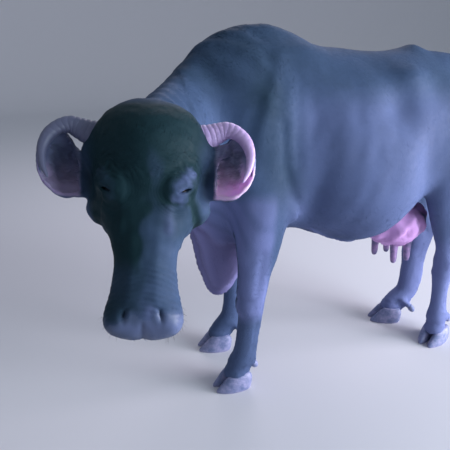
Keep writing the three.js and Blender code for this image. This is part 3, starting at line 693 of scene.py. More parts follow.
def bodyDetail(points, normals, face):
    # pushes in millimetres for trunk and legs, and the share of pink skin on the udder
    x, y, z = points.T
    s = folded(points)
    trunk = 1 - smooth(0.0, 0.6, face)
    push = 1.8 * ripple(points, 230, 18, 11) + 0.35 * ripple(points, 70, 22, 12)
    flank = band(s[:, 1], 150, 400, 30)
    ribs = band(x, -30, 250, 60) * band(z, 760, 1130, 90)
    push += 0.6 * np.cos(2 * np.pi * (x + 0.22 * z + 10 * np.sin(z / 120)) / 78) * ribs * flank
    push += 7 * ridge(s, [(352, 150, 1300), (410, 196, 1180), (470, 226, 1010)], 26)  # blade's spine
    push -= 5 * ridge(s, [(300, 190, 1230), (322, 230, 1080), (330, 240, 960)], 26)
    push -= 7 * ridge(s, armCrease, 20)
    push += 2.5 * ridge(s, [(424, 236, 1010), (424, 248, 920), (400, 242, 840), (356, 222, 780)], 44)
    push += 24 * ridge(s, [(324, 206, 772), (328, 204, 750)], 26)  # point of the elbow
    push -= 2.5 * ridge(s, [(-196, 300, 1010), (-210, 272, 860), (-226, 236, 740)], 24)  # stifle fold
    push -= 3 * ridge(s, [(-205, 262, 1120), (-215, 280, 1000)], 50)
    push -= 5 * ridge(s, [(-480, 214, 1160), (-520, 226, 1040), (-520, 226, 900)], 22)  # thigh groove
    push -= 5 * ridge(s, [(-640, 44, 1210), (-690, 52, 1120), (-706, 50, 1040)], 16)  # beside the tail
    under = smooth(0.2, 0.6, -normals[:, 2])
    push += 7 * bell(fromMilkVein(points), 0, 9) * band(x, -140, 190, 40) * under * (z < 700)
    # loose skin: upright folds on the brisket, rings round the throat where the neck bends
    lobe = band(x, 430, 700, 30) * band(z, 400, 800, 50) * band(s[:, 1], -1, 110, 20)
    push += 6.0 * briskFold(points) * lobe
    along = (points - np.array([640, 60, 990])) @ unit(np.array([0.52, 0.85, 0.02]))
    fromThroat = np.linalg.norm(points - np.array([830, 320, 1000]), axis=1)
    throat = band(along, 150, 420, 60) * band(fromThroat, -1, 260, 50)
    inner = smooth(-0.1, 0.7, normals @ unit(np.array([-0.8, 0.5, -0.35])))
    push += 3.4 * np.sin(2 * np.pi * (along + 14 * np.sin(z / 44)) / 46) * throat * inner * (1 - 0.7 * face)
    crest = band(z, 1180, 1400, 40) * band(x, 420, 860, 50)
    push += 1.6 * np.sin(2 * np.pi * along / 52) * crest
    # legs: bones of the knee and hock, and the cord behind each cannon
    for name, stations in legs.items():
        st = np.array(stations, float)[::-1]
        cx, cy = np.interp(z, st[:, 2], st[:, 0]), np.interp(z, st[:, 2], st[:, 1])
        turn = math.radians(feet[name]["turn"] * 0.6)
        ahead = (x - cx) * math.cos(turn) + (y - cy) * math.sin(turn)
        aside = np.abs(-(x - cx) * math.sin(turn) + (y - cy) * math.cos(turn))
        mine = (np.hypot(x - cx, y - cy) < 130) & (z < 690)
        if name.startswith("fore"):
            knee = bell(z, 388, 26) * smooth(0, 34, ahead)
            leg = 5 * knee - 3 * (bell(z, 430, 9) + bell(z, 346, 9)) * smooth(0, 30, ahead)
            leg -= 5 * bell(ahead, 4, 16) * band(z, 470, 600, 50) * smooth(20, 40, aside)
        else:
            leg = -9 * bell(ahead, -34, 15) * band(z, 480, 610, 40) * smooth(10, 30, aside)
            leg += 4 * bell(z, 420, 26) * smooth(20, 40, aside)
            leg += 4 * bell(z, 352, 16) * bell(ahead, 30, 20)
        leg -= 3.6 * bell(ahead, -16, 8) * band(z, 190, 330, 30) * smooth(6, 22, aside)
        leg += 3 * bell(z, 132, 22) - 3.2 * bell(z, 100, 9) - 2.4 * bell(z, 82, 6)
        foot = feet[name]
        back, up = foot["heel"]
        for out in (dewclawAside, -dewclawAside):
            root = placeFlat(np.array([back + 10, out, up + 18]), *foot["at"], 0, foot["turn"])
            leg += 4 * bell(np.linalg.norm(points - root, axis=1), 0, 22)
        leg += 0.9 * np.sin(z / 2.4 + 2 * np.sin(ahead / 24)) * band(z, 70, 118, 10)
        push += leg * mine
    udder = np.linalg.norm((points - np.array([-256, 24, 606])) / np.array([152, 148, 128]), axis=1)
    pink = 1 - smooth(0.93, 1.12, udder + 0.05 * ripple(points, 60, 8, 21))
    push -= 5 * bell(y, 22, 12) * pink * (normals[:, 2] < 0)
    push += (4.5 * bell(ripple(points, 62, 6, 22), 0, 0.14) + 4.2 * ripple(points, 46, 8, 23)) * pink
    return push * trunk, pink


normals = pointNormals(skinPoints, skinQuads)
headPush, inHead, faceShare, inCup = headDetail(skinPoints, normals)
bodyPush, pinkUdder = bodyDetail(skinPoints, normals, faceShare)
skinPoints = skinPoints + normals * (headPush + bodyPush)[:, None]
normals = pointNormals(skinPoints, skinQuads)
print("skin detail worked in")


# Materials
class Shade:
    # a small hand for wiring nodes: each call adds a node and returns its first output
    def __init__(self, name):
        self.material = bpy.data.materials.new(name)
        self.material.use_nodes = True
        self.tree = self.material.node_tree
        self.out = self.tree.nodes["Principled BSDF"]

    def add(self, kind, values=(), **settings):
        node = self.tree.nodes.new(kind)
        for key, value in settings.items():
            setattr(node, key, value)
        for where, value in dict(values).items():
            self.join(value, node.inputs[where])
        return node

    def join(self, value, socket):
        if isinstance(value, bpy.types.NodeSocket):
            self.tree.links.new(value, socket)
        else:
            socket.default_value = value

    def math(self, operation, a, b=0.0, clamp=False):
        return self.add("ShaderNodeMath", {0: a, 1: b}, operation=operation, use_clamp=clamp).outputs[0]

    def mix(self, share, a, b):
        node = self.add("ShaderNodeMix", data_type="RGBA", clamp_factor=True)
        self.join(share, node.inputs[0])
        for socket, value in ((node.inputs[6], a), (node.inputs[7], b)):
            self.join(value if isinstance(value, bpy.types.NodeSocket) else (*value, 1.0), socket)
        return node.outputs[2]

    def attribute(self, name):
        return self.add("ShaderNodeAttribute", attribute_name=name).outputs["Fac"]

    def places(self, scale=(1, 1, 1), location=(0, 0, 0), rotation=(0, 0, 0), kind="POINT"):
        at = self.add("ShaderNodeTexCoord").outputs["Object"]
        values = {"Vector": at, "Scale": scale, "Location": location, "Rotation": rotation}
        return self.add("ShaderNodeMapping", values, vector_type=kind).outputs[0]

    def noise(self, scale, detail=3.0, rough=0.55, at=None, distort=0.0):
        values = {"Scale": scale, "Detail": detail, "Roughness": rough, "Distortion": distort}
        node = self.add("ShaderNodeTexNoise", values)
        self.join(at or self.places(), node.inputs["Vector"])
        return node.outputs[0]

    def cells(self, scale, at=None, feature="DISTANCE_TO_EDGE"):
        node = self.add("ShaderNodeTexVoronoi", {"Scale": scale}, feature=feature)
        self.join(at or self.places(), node.inputs["Vector"])
        return node.outputs[0]

    def remap(self, value, low, high, first=0.0, last=1.0):
        values = {"Value": value, 1: low, 2: high, 3: first, 4: last}
        return self.add("ShaderNodeMapRange", values, clamp=True).outputs[0]

    def bump(self, height, strength, distance, onto=None):
        values = {"Height": height, "Strength": strength, "Distance": distance}
        node = self.add("ShaderNodeBump", values)
        if onto is not None:
            self.tree.links.new(onto, node.inputs["Normal"])
        return node.outputs[0]

    def finish(self, **sockets):
        names = {"color": "Base Color", "rough": "Roughness", "normal": "Normal", "coat": "Coat Weight"}
        names.update(coatRough="Coat Roughness", specular="Specular IOR Level", sheen="Sheen Weight")
        names.update(sheenRough="Sheen Roughness", soft="Subsurface Weight", softScale="Subsurface Scale")
        for key, value in sockets.items():
            self.join((*value, 1.0) if isinstance(value, tuple) else value, self.out.inputs[names[key]])
        self.out.inputs["Subsurface Radius"].default_value = (0.8, 0.6, 0.9)
        return self.material


# some of these colours are also laid on as painted light and painted shade by the marks below
hide = {
    "deep": (0.032, 0.056, 0.104), "slate": (0.057, 0.093, 0.188), "pale": (0.135, 0.165, 0.335),
    "brow": (0.006, 0.024, 0.031), "pink": (0.56, 0.31, 0.62), "earPinkGlow": (0.92, 0.62, 0.90),
    "earCupLight": (0.240, 0.250, 0.400), "nose": (0.095, 0.125, 0.240), "rough": 0.68,
}


def hideColor(m, patchy, fine):
    # broad and small patches of two slates, then the marks that are painted on the points, painted light and
    # painted shade among them
    color = m.mix(m.remap(m.noise(2.6, 4.0, 0.6), 0.34, 0.66), hide["deep"], hide["slate"])
    color = m.mix(m.remap(patchy, 0.30, 0.75, 0.0, 0.7), color, hide["slate"])
    color = m.mix(m.math("MULTIPLY", m.remap(fine, 0.4, 0.8), 0.25), color, hide["deep"])
    for mark, paintColor in (("pale", "pale"), ("brow", "brow"), ("wet", "nose"), ("earCupLight", "earCupLight")):
        color = m.mix(m.attribute(mark), color, hide[paintColor])
    color = m.mix(m.attribute("earPinkGlow"), color, hide["earPinkGlow"])
    return m.mix(m.attribute("pink"), color, hide["pink"])


def hideMaterial(name="hide", soft=0.0, shine=0.12):
    # painted slates, with bumps for wrinkles, fine creases, short strands and the rings round the eyes
    m = Shade(name)
    patchy = m.noise(11.0, 5.0, 0.6)
    fine = m.noise(70.0, 3.0, 0.6)
    color = hideColor(m, patchy, fine)
    creases = m.remap(m.cells(210.0, m.places(scale=(1, 1, 0.6))), 0.0, 0.05)
    wrinkles = m.noise(46.0, 4.0, 0.62, m.places(scale=(1, 1, 2.4)), 0.6)
    strands = m.noise(420.0, 2.0, 0.5, m.places(scale=(1.0, 1.0, 0.16)))
    normal = m.bump(wrinkles, 0.13, 0.0024)
    normal = m.bump(creases, 0.15, 0.0007, normal)
    normal = m.bump(strands, 0.22, 0.0008, normal)
    for side in (1, -1):
        # fine rings of skin round the eye, fading out past them
        at = (fromHead(np.array(eye["at"]) * (1, side, 1)) - shift) * 0.001
        spot = m.places(location=tuple(-at))
        far = m.add("ShaderNodeVectorMath", {0: spot}, operation="LENGTH").outputs["Value"]
        wavering = m.math("ADD", far, m.math("MULTIPLY", patchy, 0.02))
        rings = m.math("SINE", m.math("MULTIPLY", wavering, 980.0))
        rings = m.math("MULTIPLY", rings, m.remap(far, 0.085, 0.045))
        normal = m.bump(rings, 0.09, 0.0012, normal)
    rough = m.remap(fine, 0.3, 0.7, hide["rough"] - 0.08, hide["rough"] + 0.1)
    rough = m.math("SUBTRACT", rough, m.math("MULTIPLY", m.attribute("wet"), 0.3))
    return m.finish(color=color, rough=rough, normal=normal, specular=shine, soft=soft, softScale=0.02)


hideLook = hideMaterial()
onLeft = inHead[:, 1] > 0
faceUp = (normals @ headTurn)[:, 2]


def lidLightShare(s):
    # the swollen upper lid: one long patch from the inner corner up across it, where painted highlight goes
    uneven = 3 * ripple(s, 24, 8, 37)
    return 1 - smooth(4, 28, nearPath(s, [(220, 78, -5)] + eyeFolds["upperLid"]) + uneven)


def templeLightShare(h):
    # the skin between her left eye and ear, lightened as painted light
    return ridge(h, [(110, 142, -54), (150, 139, -76), (184, 138, -98)], 36)


def darkHairAndPaintedShade(h):
    # the dark of the forehead and temples, her own dark hair, full to the brows, then thinning down the face
    # by uneven steps; painted shade over her right half of the face, in the grooves round the eye and cheek,
    # along the topline, over the shoulder and over the rump and thighs
    # the dark reaches further down her right half of the face than her left: painted shade
    uneven = h[:, 0] + 26 * ripple(h, 90, 8, 31) - 0.5 * np.abs(h[:, 1]) + 0.35 * h[:, 1]
    shadedRightFace = 190 * smooth(16, -20, h[:, 1] + 5 * ripple(h, 60, 8, 39))
    fade = 1 - 0.40 * smooth(110, 230, uneven - shadedRightFace) - 0.45 * smooth(230, 450, uneven - shadedRightFace)
    aside = (1 - smooth(120, 205, np.abs(h[:, 1]))) * smooth(-0.75, 0.05, faceUp)
    aside = aside * smooth(-215, -70, h[:, 2] + 30 * ripple(h, 120, 8, 36))
    s = folded(h)
    # the grooves of the orbit, cheek and lower lid darkened: painted shade
    grooves = 0.35 * ridge(s, eyeFolds["orbit"], 14) + 0.85 * ridge(s, eyeFolds["cheek"], 15)
    grooves = grooves + 0.4 * ridge(s, eyeFolds["lowerLid"], 6)
    # the upper lid and her left temple kept lighter: painted light
    paintedLightPatches = np.maximum(lidLightShare(s) * (0.15 + 0.65 * onLeft), 0.3 * templeLightShare(h))
    fade = np.clip(fade * aside * (1 - paintedLightPatches) + grooves, 0, 1)
    fade = fade * smooth(-170, -60, h[:, 0]) * smooth(0.0, 0.9, faceShare)
    x, y, z = skinPoints.T
    # darker along the topline, over the shoulder and over the rump and thighs: painted shade
    toplineShade = 0.42 * smooth(1060, 1290, z + 30 * ripple(skinPoints, 260, 8, 38)) * smooth(60, 320, x)
    toplineShade = toplineShade + 0.22 * smooth(1080, 1240, z) * (1 - smooth(60, 320, x)) * smooth(-420, -200, x)
    shoulder = 0.5 * ridge(skinPoints, [(430, 220, 1140), (420, 240, 980), (390, 230, 850)], 95)
    toplineShade = toplineShade + shoulder + 0.24 * (1 - smooth(-330, -180, x)) * smooth(760, 900, z)
    return np.maximum(fade, toplineShade * (1 - faceShare))


def paleSkinAndPaintedLight(points, h, normals):
    # pale skin and painted light: painted highlights on the upper lids, the tear lines and down the middle
    # of the nose, stronger on her left; two small pale specks on the face; painted light on the brisket, the
    # lower hind legs, the elbow, the middle of the flank and her left temple; the lower forelegs a little
    # paler, and the milk veins
    s = folded(h)
    # the lids and tear lines lighter, most on her left: painted highlight
    lid = (0.1 + 0.34 * onLeft) * lidLightShare(s) * faceShare
    tear = (0.1 + 0.7 * onLeft) * ridge(s, eyeFolds["tear"], 13) * faceShare
    tear = tear + 0.5 * ridge(h, [(482, 18, 5), (500, 14, 3), (530, 20, -11)], 10)  # painted highlight down the middle of the nose
    specks = 0.8 * ridge(h, [(171, 10, 29), (175, 13, 29)], 4)
    specks = specks + 0.6 * ridge(h, [(272, -9, 3), (276, -9, 3)], 4)
    x, y, z = points.T
    # the brisket lighter on its left-facing side, most on the crests of its folds: painted light
    fold = 0.5 + 0.5 * briskFold(points)
    lobe = band(x, 430, 760, 40) * band(z, 380, 800, 70) * (normals[:, 1] > 0)
    # the lower hind legs lighter: painted light
    hindLegLight = smooth(680, 400, z) * (x < -250) * (0.8 + 0.2 * (y > -170))
    knees = smooth(420, 300, z) * (x > 0) * 0.16
    under = smooth(0.2, 0.6, -normals[:, 2]) * band(x, -140, 200, 40) * (z < 700)
    vein = 0.7 * bell(fromMilkVein(points), 0, 11) * under
    # the point of the elbow lighter: painted highlight; the middle of the flank lighter: painted light
    arm = 0.5 * ridge(points, [(370, 214, 815), (322, 206, 755)], 50)
    flank = 0.42 * band(x, -330, 240, 140) * band(z, 660, 1090, 120) * (1 - faceShare)
    templeLight = 0.2 * templeLightShare(h) * faceShare
    onHead = lid + tear + templeLight + specks * faceShare
    onBody = (0.75 + 0.4 * fold) * lobe + hindLegLight + knees + vein + arm + flank
    return np.clip((onHead + onBody) * (1 - 0.6 * pinkUdder), 0, 1)


# pink on the front of the brisket: painted light
brisketPinkLight = band(skinPoints[:, 0], 470, 700, 50) * band(skinPoints[:, 2], 400, 760, 70)
brisketPinkLight = brisketPinkLight * (1 - smooth(90, 150, np.abs(skinPoints[:, 1]))) * (1 - faceShare)
wetLine = inHead[:, 0] + 7 * ripple(inHead, 40, 8, 35) - 20 * smooth(-20, -60, inHead[:, 1])
lobeOfEar = smooth(96, 180, inHead[:, 0] + 10 * ripple(inHead, 40, 8, 33))
skinAttributes = {  # marks that the materials read, 0 to 1 at each point of the skin
    "wet": smooth(468, 534, wetLine) * smooth(-96, -78, inHead[:, 2]) * faceShare,
    # the forehead's dark hair, and painted shade on the face and body
    "brow": darkHairAndPaintedShade(inHead),
    "pink": np.maximum(pinkUdder, 0.12 * brisketPinkLight),
    # the ear cups lighter and their lower lobes pink: partly the ear's own skin, partly painted light
    # through the ear; her right ear far less, as painted shade
    "earPinkGlow": inCup * lobeOfEar * (0.22 + 0.78 * onLeft),
    "earCupLight": inCup * (0.35 + 0.65 * onLeft),
    "pale": paleSkinAndPaintedLight(skinPoints, inHead, normals),
}
fleshNodes = ["torso", "neck", "brisket", "head", "ear_left", "ear_right", "udder"] + list(legs)
skin = addMesh("skin", skinPoints, [skinQuads], "skin", hideLook, fleshNodes)
skin.data.materials.append(hideMaterial("earHide", 0.6))
skin.data.materials.append(hideMaterial("noseHide", 0.0, 0.35))
earFaces = band(np.abs(inHead[skinQuads, 1]).mean(1), 140, 300, 1) > 0.5
earFaces = earFaces & (faceShare[skinQuads].mean(1) > 0.5)
noseFaces = skinAttributes["wet"][skinQuads].mean(1) > 0.4
skin.data.polygons.foreach_set("material_index", (earFaces + 2 * noseFaces).astype(np.int32))
for key, values in skinAttributes.items():
    paint(skin, key, values)
print("skin placed")

# Tail and teats
tail = {
    "path": [
        (-640, 0, 1196, 30, 24, 26), (-706, 0, 1152, 30, 28, 28), (-736, 2, 1050, 26, 25, 25),
        (-742, 6, 900, 22, 21, 21), (-734, 10, 760, 18, 17, 17), (-722, 14, 620, 14, 14, 14),
        (-716, 16, 540, 11, 11, 11), (-714, 17, 470, 6, 6, 6),
    ],
    "core": [  # the solid middle of the switch
        (-719, 15, 592, 13, 13, 13), (-716, 16, 545, 20, 20, 20), (-713, 18, 500, 19, 19, 19),
        (-711, 18, 440, 6, 6, 6),
    ],
}


def tailShape(t, angle):
    # joints of the tail: low rings along it, the sum of two sines
    return 1 + 0.03 * np.sin(t * 150) + 0.02 * np.sin(t * 47 + 2 * np.cos(angle))


tailForm = loft(tail["path"], (1, 0, 0.3), sides=28, rings=190, grow=-1, shape=tailShape)
tailPiece = addMesh("tail_skin", tailForm[0], tailForm[1:], "skin", hideLook, ["tail"])
for key in skinAttributes:
    paint(tailPiece, key, np.zeros(len(tailForm[0])))

teats = {  # the middle of each
    "teat_front_left": (-262, 66, 500), "teat_rear_left": (-326, 72, 506),
    "teat_front_right": (-240, -36, 500), "teat_rear_right": (-306, -38, 504),
}
teatShade = (0.13, 0.12, 0.24)


def teatMaterial():
    # the udder's pink, darkened in patches, with fine level wrinkles
    m = Shade("teatSkin")
    color = m.mix(m.remap(m.noise(30.0, 3.0), 0.3, 0.65, 0.35, 1.0), hide["pink"], teatShade)
    normal = m.bump(m.noise(240.0, 3.0, 0.6, m.places(scale=(1, 1, 2.5))), 0.35, 0.001)
    return m.finish(color=color, rough=0.5, normal=normal, soft=0.08, softScale=0.01)


def teatRings(t, angle):
    # a sine down the teat
    return 1 + 0.012 * np.sin(t * 90)


teatLook = teatMaterial()
for name, (x, y, z) in teats.items():
    stations = [
        (x, y * 0.9, z + 62, 24, 24, 24), (x, y * 0.95, z + 34, 20, 20, 20), (x, y, z + 8, 19, 19, 19),
        (x - 1, y * 1.04, z - 40, 15.5, 15.5, 15.5), (x - 2, y * 1.06, z - 72, 13.5, 13.5, 13.5),
        (x - 2, y * 1.06, z - 86, 9, 9, 9), (x - 2, y * 1.06, z - 90, 2, 2, 2),
    ]
    p, quads, fans = loft(stations, (1, 0, 0), sides=32, rings=60, shape=teatRings)
    addMesh(name + "_skin", p, (quads, fans), "udder_skin", teatLook, [name])
print("tail and teats placed")

# Horns
horn = {
    "stations": [
        (56, 100, -82, 37, 33, 33), (50, 142, -80, 33, 29, 29), (40, 172, -74, 27, 24, 24),
        (34, 196, -66, 22, 20, 20), (44, 221, -57, 18, 18, 18), (68, 242, -48, 16, 16, 16),
        (104, 252, -38, 12, 13, 13), (144, 246, -27, 8, 9, 9), (170, 234, -21, 4.5, 5, 5),
        (177, 230, -20, 1.5, 1.5, 1.5),
    ],
    # the colours are those of her lit left horn; the horn on her right is painted in shade
    "base": (0.46, 0.34, 0.62), "tip": (0.54, 0.37, 0.66), "scuff": (0.80, 0.58, 0.90),
    "shade": (0.085, 0.100, 0.170), "shadedHorn": {"left": 0.0, "right": 0.96}, "rings": 300, "sides": 44,
}


def hornShape(t, angle):
    # growth rings: deep and close at the root, fading to a smooth tip
    rings = np.abs(np.sin(t * 62 + 0.5 * np.sin(3 * angle))) ** 0.6 - 0.6
    return 1 + 0.055 * rings * (1 - smooth(0.35, 0.9, t)) - 0.02


def hornMaterial():
    # from base to tip, with lengthwise scuffs; the horn on her right is mixed towards the shade colour as
    # painted shade
    m = Shade("hornSheath")
    along = m.attribute("along")
    color = m.mix(m.remap(along, 0.2, 0.95), horn["base"], horn["tip"])
    streaks = m.noise(60.0, 4.0, 0.6, m.places(scale=(1, 1, 0.4)), 0.8)
    color = m.mix(m.remap(streaks, 0.52, 0.75, 0.0, 0.65), color, horn["scuff"])
    # the horn on her right mixed towards the dark colour: painted shade
    color = m.mix(m.attribute("shadedHorn"), color, horn["shade"])
    normal = m.bump(m.noise(300.0, 3.0, 0.6), 0.25, 0.0008)
    rough = m.remap(streaks, 0.3, 0.7, 0.36, 0.58)
    return m.finish(color=color, rough=rough, normal=normal, specular=0.5)


hornLook = hornMaterial()
for label, side in (("left", 1), ("right", -1)):
    rings, sides = horn["rings"], horn["sides"]
    form = loft(horn["stations"], sides=sides, rings=rings, crown=2.3, keel=2.1, shape=hornShape)
    form = onSide(form, side)
    piece = addMesh("horn_" + label + "_sheath", form[0], form[1:], "horn", hornLook, ["horn_" + label])
    paint(piece, "along", np.concatenate([np.repeat(np.linspace(0, 1, rings + 1), sides), [0, 1]]))
    paint(piece, "shadedHorn", np.full(len(form[0]), horn["shadedHorn"][label]))
print("horns placed")

# Hooves
claw = {
    "length": 148, "width": 54, "splay": 3, "apart": 2.5,
    "horn": (0.130, 0.165, 0.310), "worn": (0.34, 0.33, 0.52),
}
clawReach, clawSide = claw["length"] / 2, claw["width"] / 2
clawStations = [
    (4, 0, 0, clawSide - 3, clawReach, clawReach - 10), (2, 0, 10, clawSide, clawReach + 1, clawReach - 6),
    (-4, 0, 34, clawSide - 1, clawReach - 14, clawReach - 8),
    (-12, 0, 58, clawSide - 5, clawReach - 26, clawReach - 16),
    (-18, 0, 74, clawSide - 11, clawReach - 38, clawReach - 32),
]
dewclawStations = [
    (12, 0, 26, 11, 12, 12), (4, 0, 14, 15, 15, 15), (-3, 0, 5, 14.5, 14.5, 14.5), (-9, 0, -3, 10, 10, 10),
    (-12, 0, -7, 4, 4, 4),
]


def hoofMaterial():
    # two horn colours in patches, paler at the ground, with level growth bands as a sine of the height
    m = Shade("hoofHorn")
    height = m.add("ShaderNodeSeparateXYZ", {0: m.places()}).outputs[2]
    wavering = m.math("ADD", height, m.math("MULTIPLY", m.noise(18.0), 0.012))
    bands = m.math("SINE", m.math("MULTIPLY", wavering, 900.0))
    color = m.mix(m.remap(m.noise(34.0, 4.0, 0.65), 0.4, 0.72), claw["horn"], claw["worn"])
    color = m.mix(m.remap(height, 0.012, 0.0, 0.0, 0.55), color, claw["worn"])
    normal = m.bump(bands, 0.35, 0.0009)
    normal = m.bump(m.noise(200.0, 3.0, 0.6, m.places(scale=(1, 1, 0.15))), 0.3, 0.0008, normal)
    return m.finish(color=color, rough=m.remap(m.noise(26.0), 0.3, 0.7, 0.4, 0.62), normal=normal)


hoofLook = hoofMaterial()
for name, foot in feet.items():
    x, y = foot["at"]
    turn = math.radians(foot["turn"])
    ahead, left = math.cos(turn), math.sin(turn)
    heelX, heelZ = foot["heel"]
    for label, side in (("left", 1), ("right", -1)):
        apart = side * (clawSide + claw["apart"])
        p, quads, fans = loft(clawStations, (1, 0, 0), (0, 0, 1), sides=56, rings=40, crown=1.75, keel=2.4)
        p[:, 1] -= side * 3.5 * smooth(20, 78, p[:, 0])  # the toes curve in towards each other
        place = (x - left * apart, y + ahead * apart, 0, foot["turn"] - side * claw["splay"])
        node = f"{name}_claw_{label}"
        addMesh(node + "_horn", placeFlat(p, *place), (quads, fans), "hoof_horn", hoofLook, [node])
        out = side * dewclawAside
        p, quads, fans = loft(dewclawStations, (1, 0, 0), sides=28, rings=30)
        place = (x + ahead * heelX - left * out, y + left * heelX + ahead * out, heelZ, foot["turn"])
        node = f"{name}_dewclaw_{label}"
        addMesh(node + "_horn", placeFlat(p, *place), (quads, fans), "hoof_horn", hoofLook, [node])
print("hooves placed")

# Eyes and lids
gaze = {
    "white": (0.018, 0.020, 0.036), "vein": (0.022, 0.020, 0.036), "iris": (0.008, 0.009, 0.016),
    "pupil": (0.003, 0.003, 0.005),
}


def eyeMaterial():
    # iris inside, white outside by the angle from the gaze, and the painted pupil over both
    m = Shade("eyeball")
    ring = m.attribute("ring")
    streaks = m.noise(260.0, 3.0)
    color = m.mix(m.remap(ring, 0.60, 0.68), gaze["iris"], gaze["white"])
    color = m.mix(m.remap(streaks, 0.4, 0.8, 0.0, 0.4), color, gaze["vein"])
    color = m.mix(m.attribute("pupil"), color, gaze["pupil"])
    return m.finish(color=color, rough=0.34, coat=0.04, coatRough=0.15, specular=0.12)


def ball(rows=70, sides=96):
    # a sphere about the gaze, with the cornea standing out of it by a low bell
    t = np.linspace(0.02, np.pi - 0.02, rows)[:, None]
    a = np.linspace(0, 2 * np.pi, sides, endpoint=False)[None, :]
    radius = eye["radius"] - 0.6 + 1.9 * bell(t, 0, 0.5)
    ringAt = radius * np.sin(t)
    p = ringAt[..., None] * (np.cos(a)[..., None] * slit + np.sin(a)[..., None] * lift)
    p = p + (radius * np.cos(t) * np.ones_like(a))[..., None] * eyeLook
    return p + np.array(eye["at"], float), t * np.ones_like(a), a * np.ones_like(t)


def outwards(points, faces):
    # turns a closed surface's faces outward by the sign of its volume
    total = 0
    for f in faces:
        a, b, c = points[f[:, 0]], points[f[:, 1]], points[f[:, 2]]
        total += (np.cross(b - a, c - a) * a).sum()
        if f.shape[1] == 4:
            d = points[f[:, 3]]
            total += (np.cross(c - a, d - a) * a).sum()
    return faces if total > 0 else [f[:, ::-1] for f in faces]


# The margins of the lids: a thin rolled edge carried round the almond opening, just off the ball
lidEdge = {"thick": 2.3, "color": (0.012, 0.011, 0.016)}


def lidLine(t):
    # the almond round the opening, laid on the ball; t runs along the upper lid, then along the lower
    upper = np.sin(t) >= 0
    a = eye["corner"] * np.cos(t)
    height = np.where(upper, eye["openUp"], eye["openDown"])
    circle = (eye["corner"] ** 2 + height**2) / (2 * height)
    u = np.where(upper, 1, -1) * (np.sqrt(np.maximum(circle**2 - a**2, 0)) - (circle - height))
    c, s = math.cos(eye["slant"]), math.sin(eye["slant"])
    along, up = a * c - u * s, a * s + u * c
    out = np.sqrt(np.maximum((eye["radius"] + 1.4) ** 2 - along**2 - up**2, 16))
    return along[:, None] * slit + up[:, None] * lift + out[:, None] * eyeLook


def lidMargin():
    # a round tube carried along the lids' line, thicker on the upper lid
    steps, sides = 120, 16
    t = np.linspace(0, 2 * np.pi, steps + 1)[:-1]
    centre = lidLine(t)
    ahead = unit(np.roll(centre, -1, 0) - np.roll(centre, 1, 0))
    away = unit(centre)
    across = unit(np.cross(ahead, away))
    around = np.linspace(0, 2 * np.pi, sides, endpoint=False)[None, :, None]
    thick = lidEdge["thick"] * (1 + 0.25 * np.sin(t))[:, None, None]
    ring = centre[:, None] + thick * (np.cos(around) * across[:, None] + np.sin(around) * away[:, None])
    grid = np.arange(steps * sides).reshape(steps, sides)
    far = np.roll(grid, -1, 0)
    quads = np.stack([grid, np.roll(grid, -1, 1), np.roll(far, -1, 1), far], -1).reshape(-1, 4)
    return ring.reshape(-1, 3) + np.array(eye["at"], float), quads


def marginMaterial():
    # dark skin with a fine bump
    m = Shade("lidMargin")
    return m.finish(color=lidEdge["color"], rough=0.35, normal=m.bump(m.noise(500.0), 0.2, 0.0006))


ballLook, edgeLook = eyeMaterial(), marginMaterial()
for label, side in (("left", 1), ("right", -1)):
    grid, t, a = ball()
    p, quads, fans = closeRows(grid)
    placed = fromHead(p * (1, side, 1))
    node = "eye_" + label
    piece = addMesh(node + "_ball", placed, outwards(placed, [quads, fans]), "eye", ballLook, [node])
    paint(piece, "ring", np.append(t.ravel(), [0, 3]))
    oval = np.hypot(np.cos(a) * np.sin(t) / 0.36, np.sin(a) * np.sin(t) / 0.2)
    paint(piece, "pupil", np.append(np.where(t < 1.2, 1 - smooth(0.9, 1.05, oval), 0).ravel(), [1, 0]))
    p, quads = lidMargin()
    p = fromHead(p * (1, side, 1))
    addMesh("lid_margin_" + label, p, outwards(p, [quads]), "skin", edgeLook)
print("eyes placed")

# Coat: flat tapered tufts rooted in the skin, lying along the body
def blades(root, lie, out, size):
    # three-sided tufts. The middle line leaves the root along `lie`, rises by `lift` and bends back down:
    # root + length (s lie + lift (s - 0.8 s squared) out), and the width swells, then tapers to a point.
    count, rows = len(root), size["rows"]
    s = np.linspace(0, 1, rows + 1)
    across = unit(np.cross(lie, out))
    length, wide, lift = (size[key] * np.ones(count) for key in ("length", "wide", "lift"))
    line = root[:, None] + (length[:, None] * s)[..., None] * lie[:, None]
    line = line + (length[:, None] * lift[:, None] * (s - 0.8 * s**2))[..., None] * out[:, None]
    girth = wide[:, None] * np.interp(s, [0, 0.3, 0.7, 1], [0.65, 1, 0.62, 0])
    angle = np.radians([90, 210, 330])
    flat = size.get("flat", 0.4)
    cross = np.cos(angle)[:, None] * across[:, None] + flat * np.sin(angle)[:, None] * out[:, None]
    rings = line[:, :-1, None] + girth[:, :-1, None, None] * cross[:, None]
    points = np.concatenate([rings.reshape(count, rows * 3, 3), line[:, -1:]], 1)
    j, k = np.arange(3), (np.arange(3) + 1) % 3
    level = 3 * np.arange(rows - 1)[:, None]
    quads = np.stack([level + j, level + 3 + j, level + 3 + k, level + k], -1).reshape(-1, 4)
    last = 3 * (rows - 1)
    ends = np.vstack([np.stack([last + j, np.full(3, 3 * rows), last + k], -1), [[0, 1, 2]]])
    base = (np.arange(count) * (3 * rows + 1))[:, None, None]
    patch = np.stack([np.append(np.tile(j / 2, rows), 0.5), np.append(np.repeat(s[:-1], 3), 1)], -1) * 0.003
    return points.reshape(-1, 3), [(quads + base).reshape(-1, 4), (ends + base).reshape(-1, 3)], patch


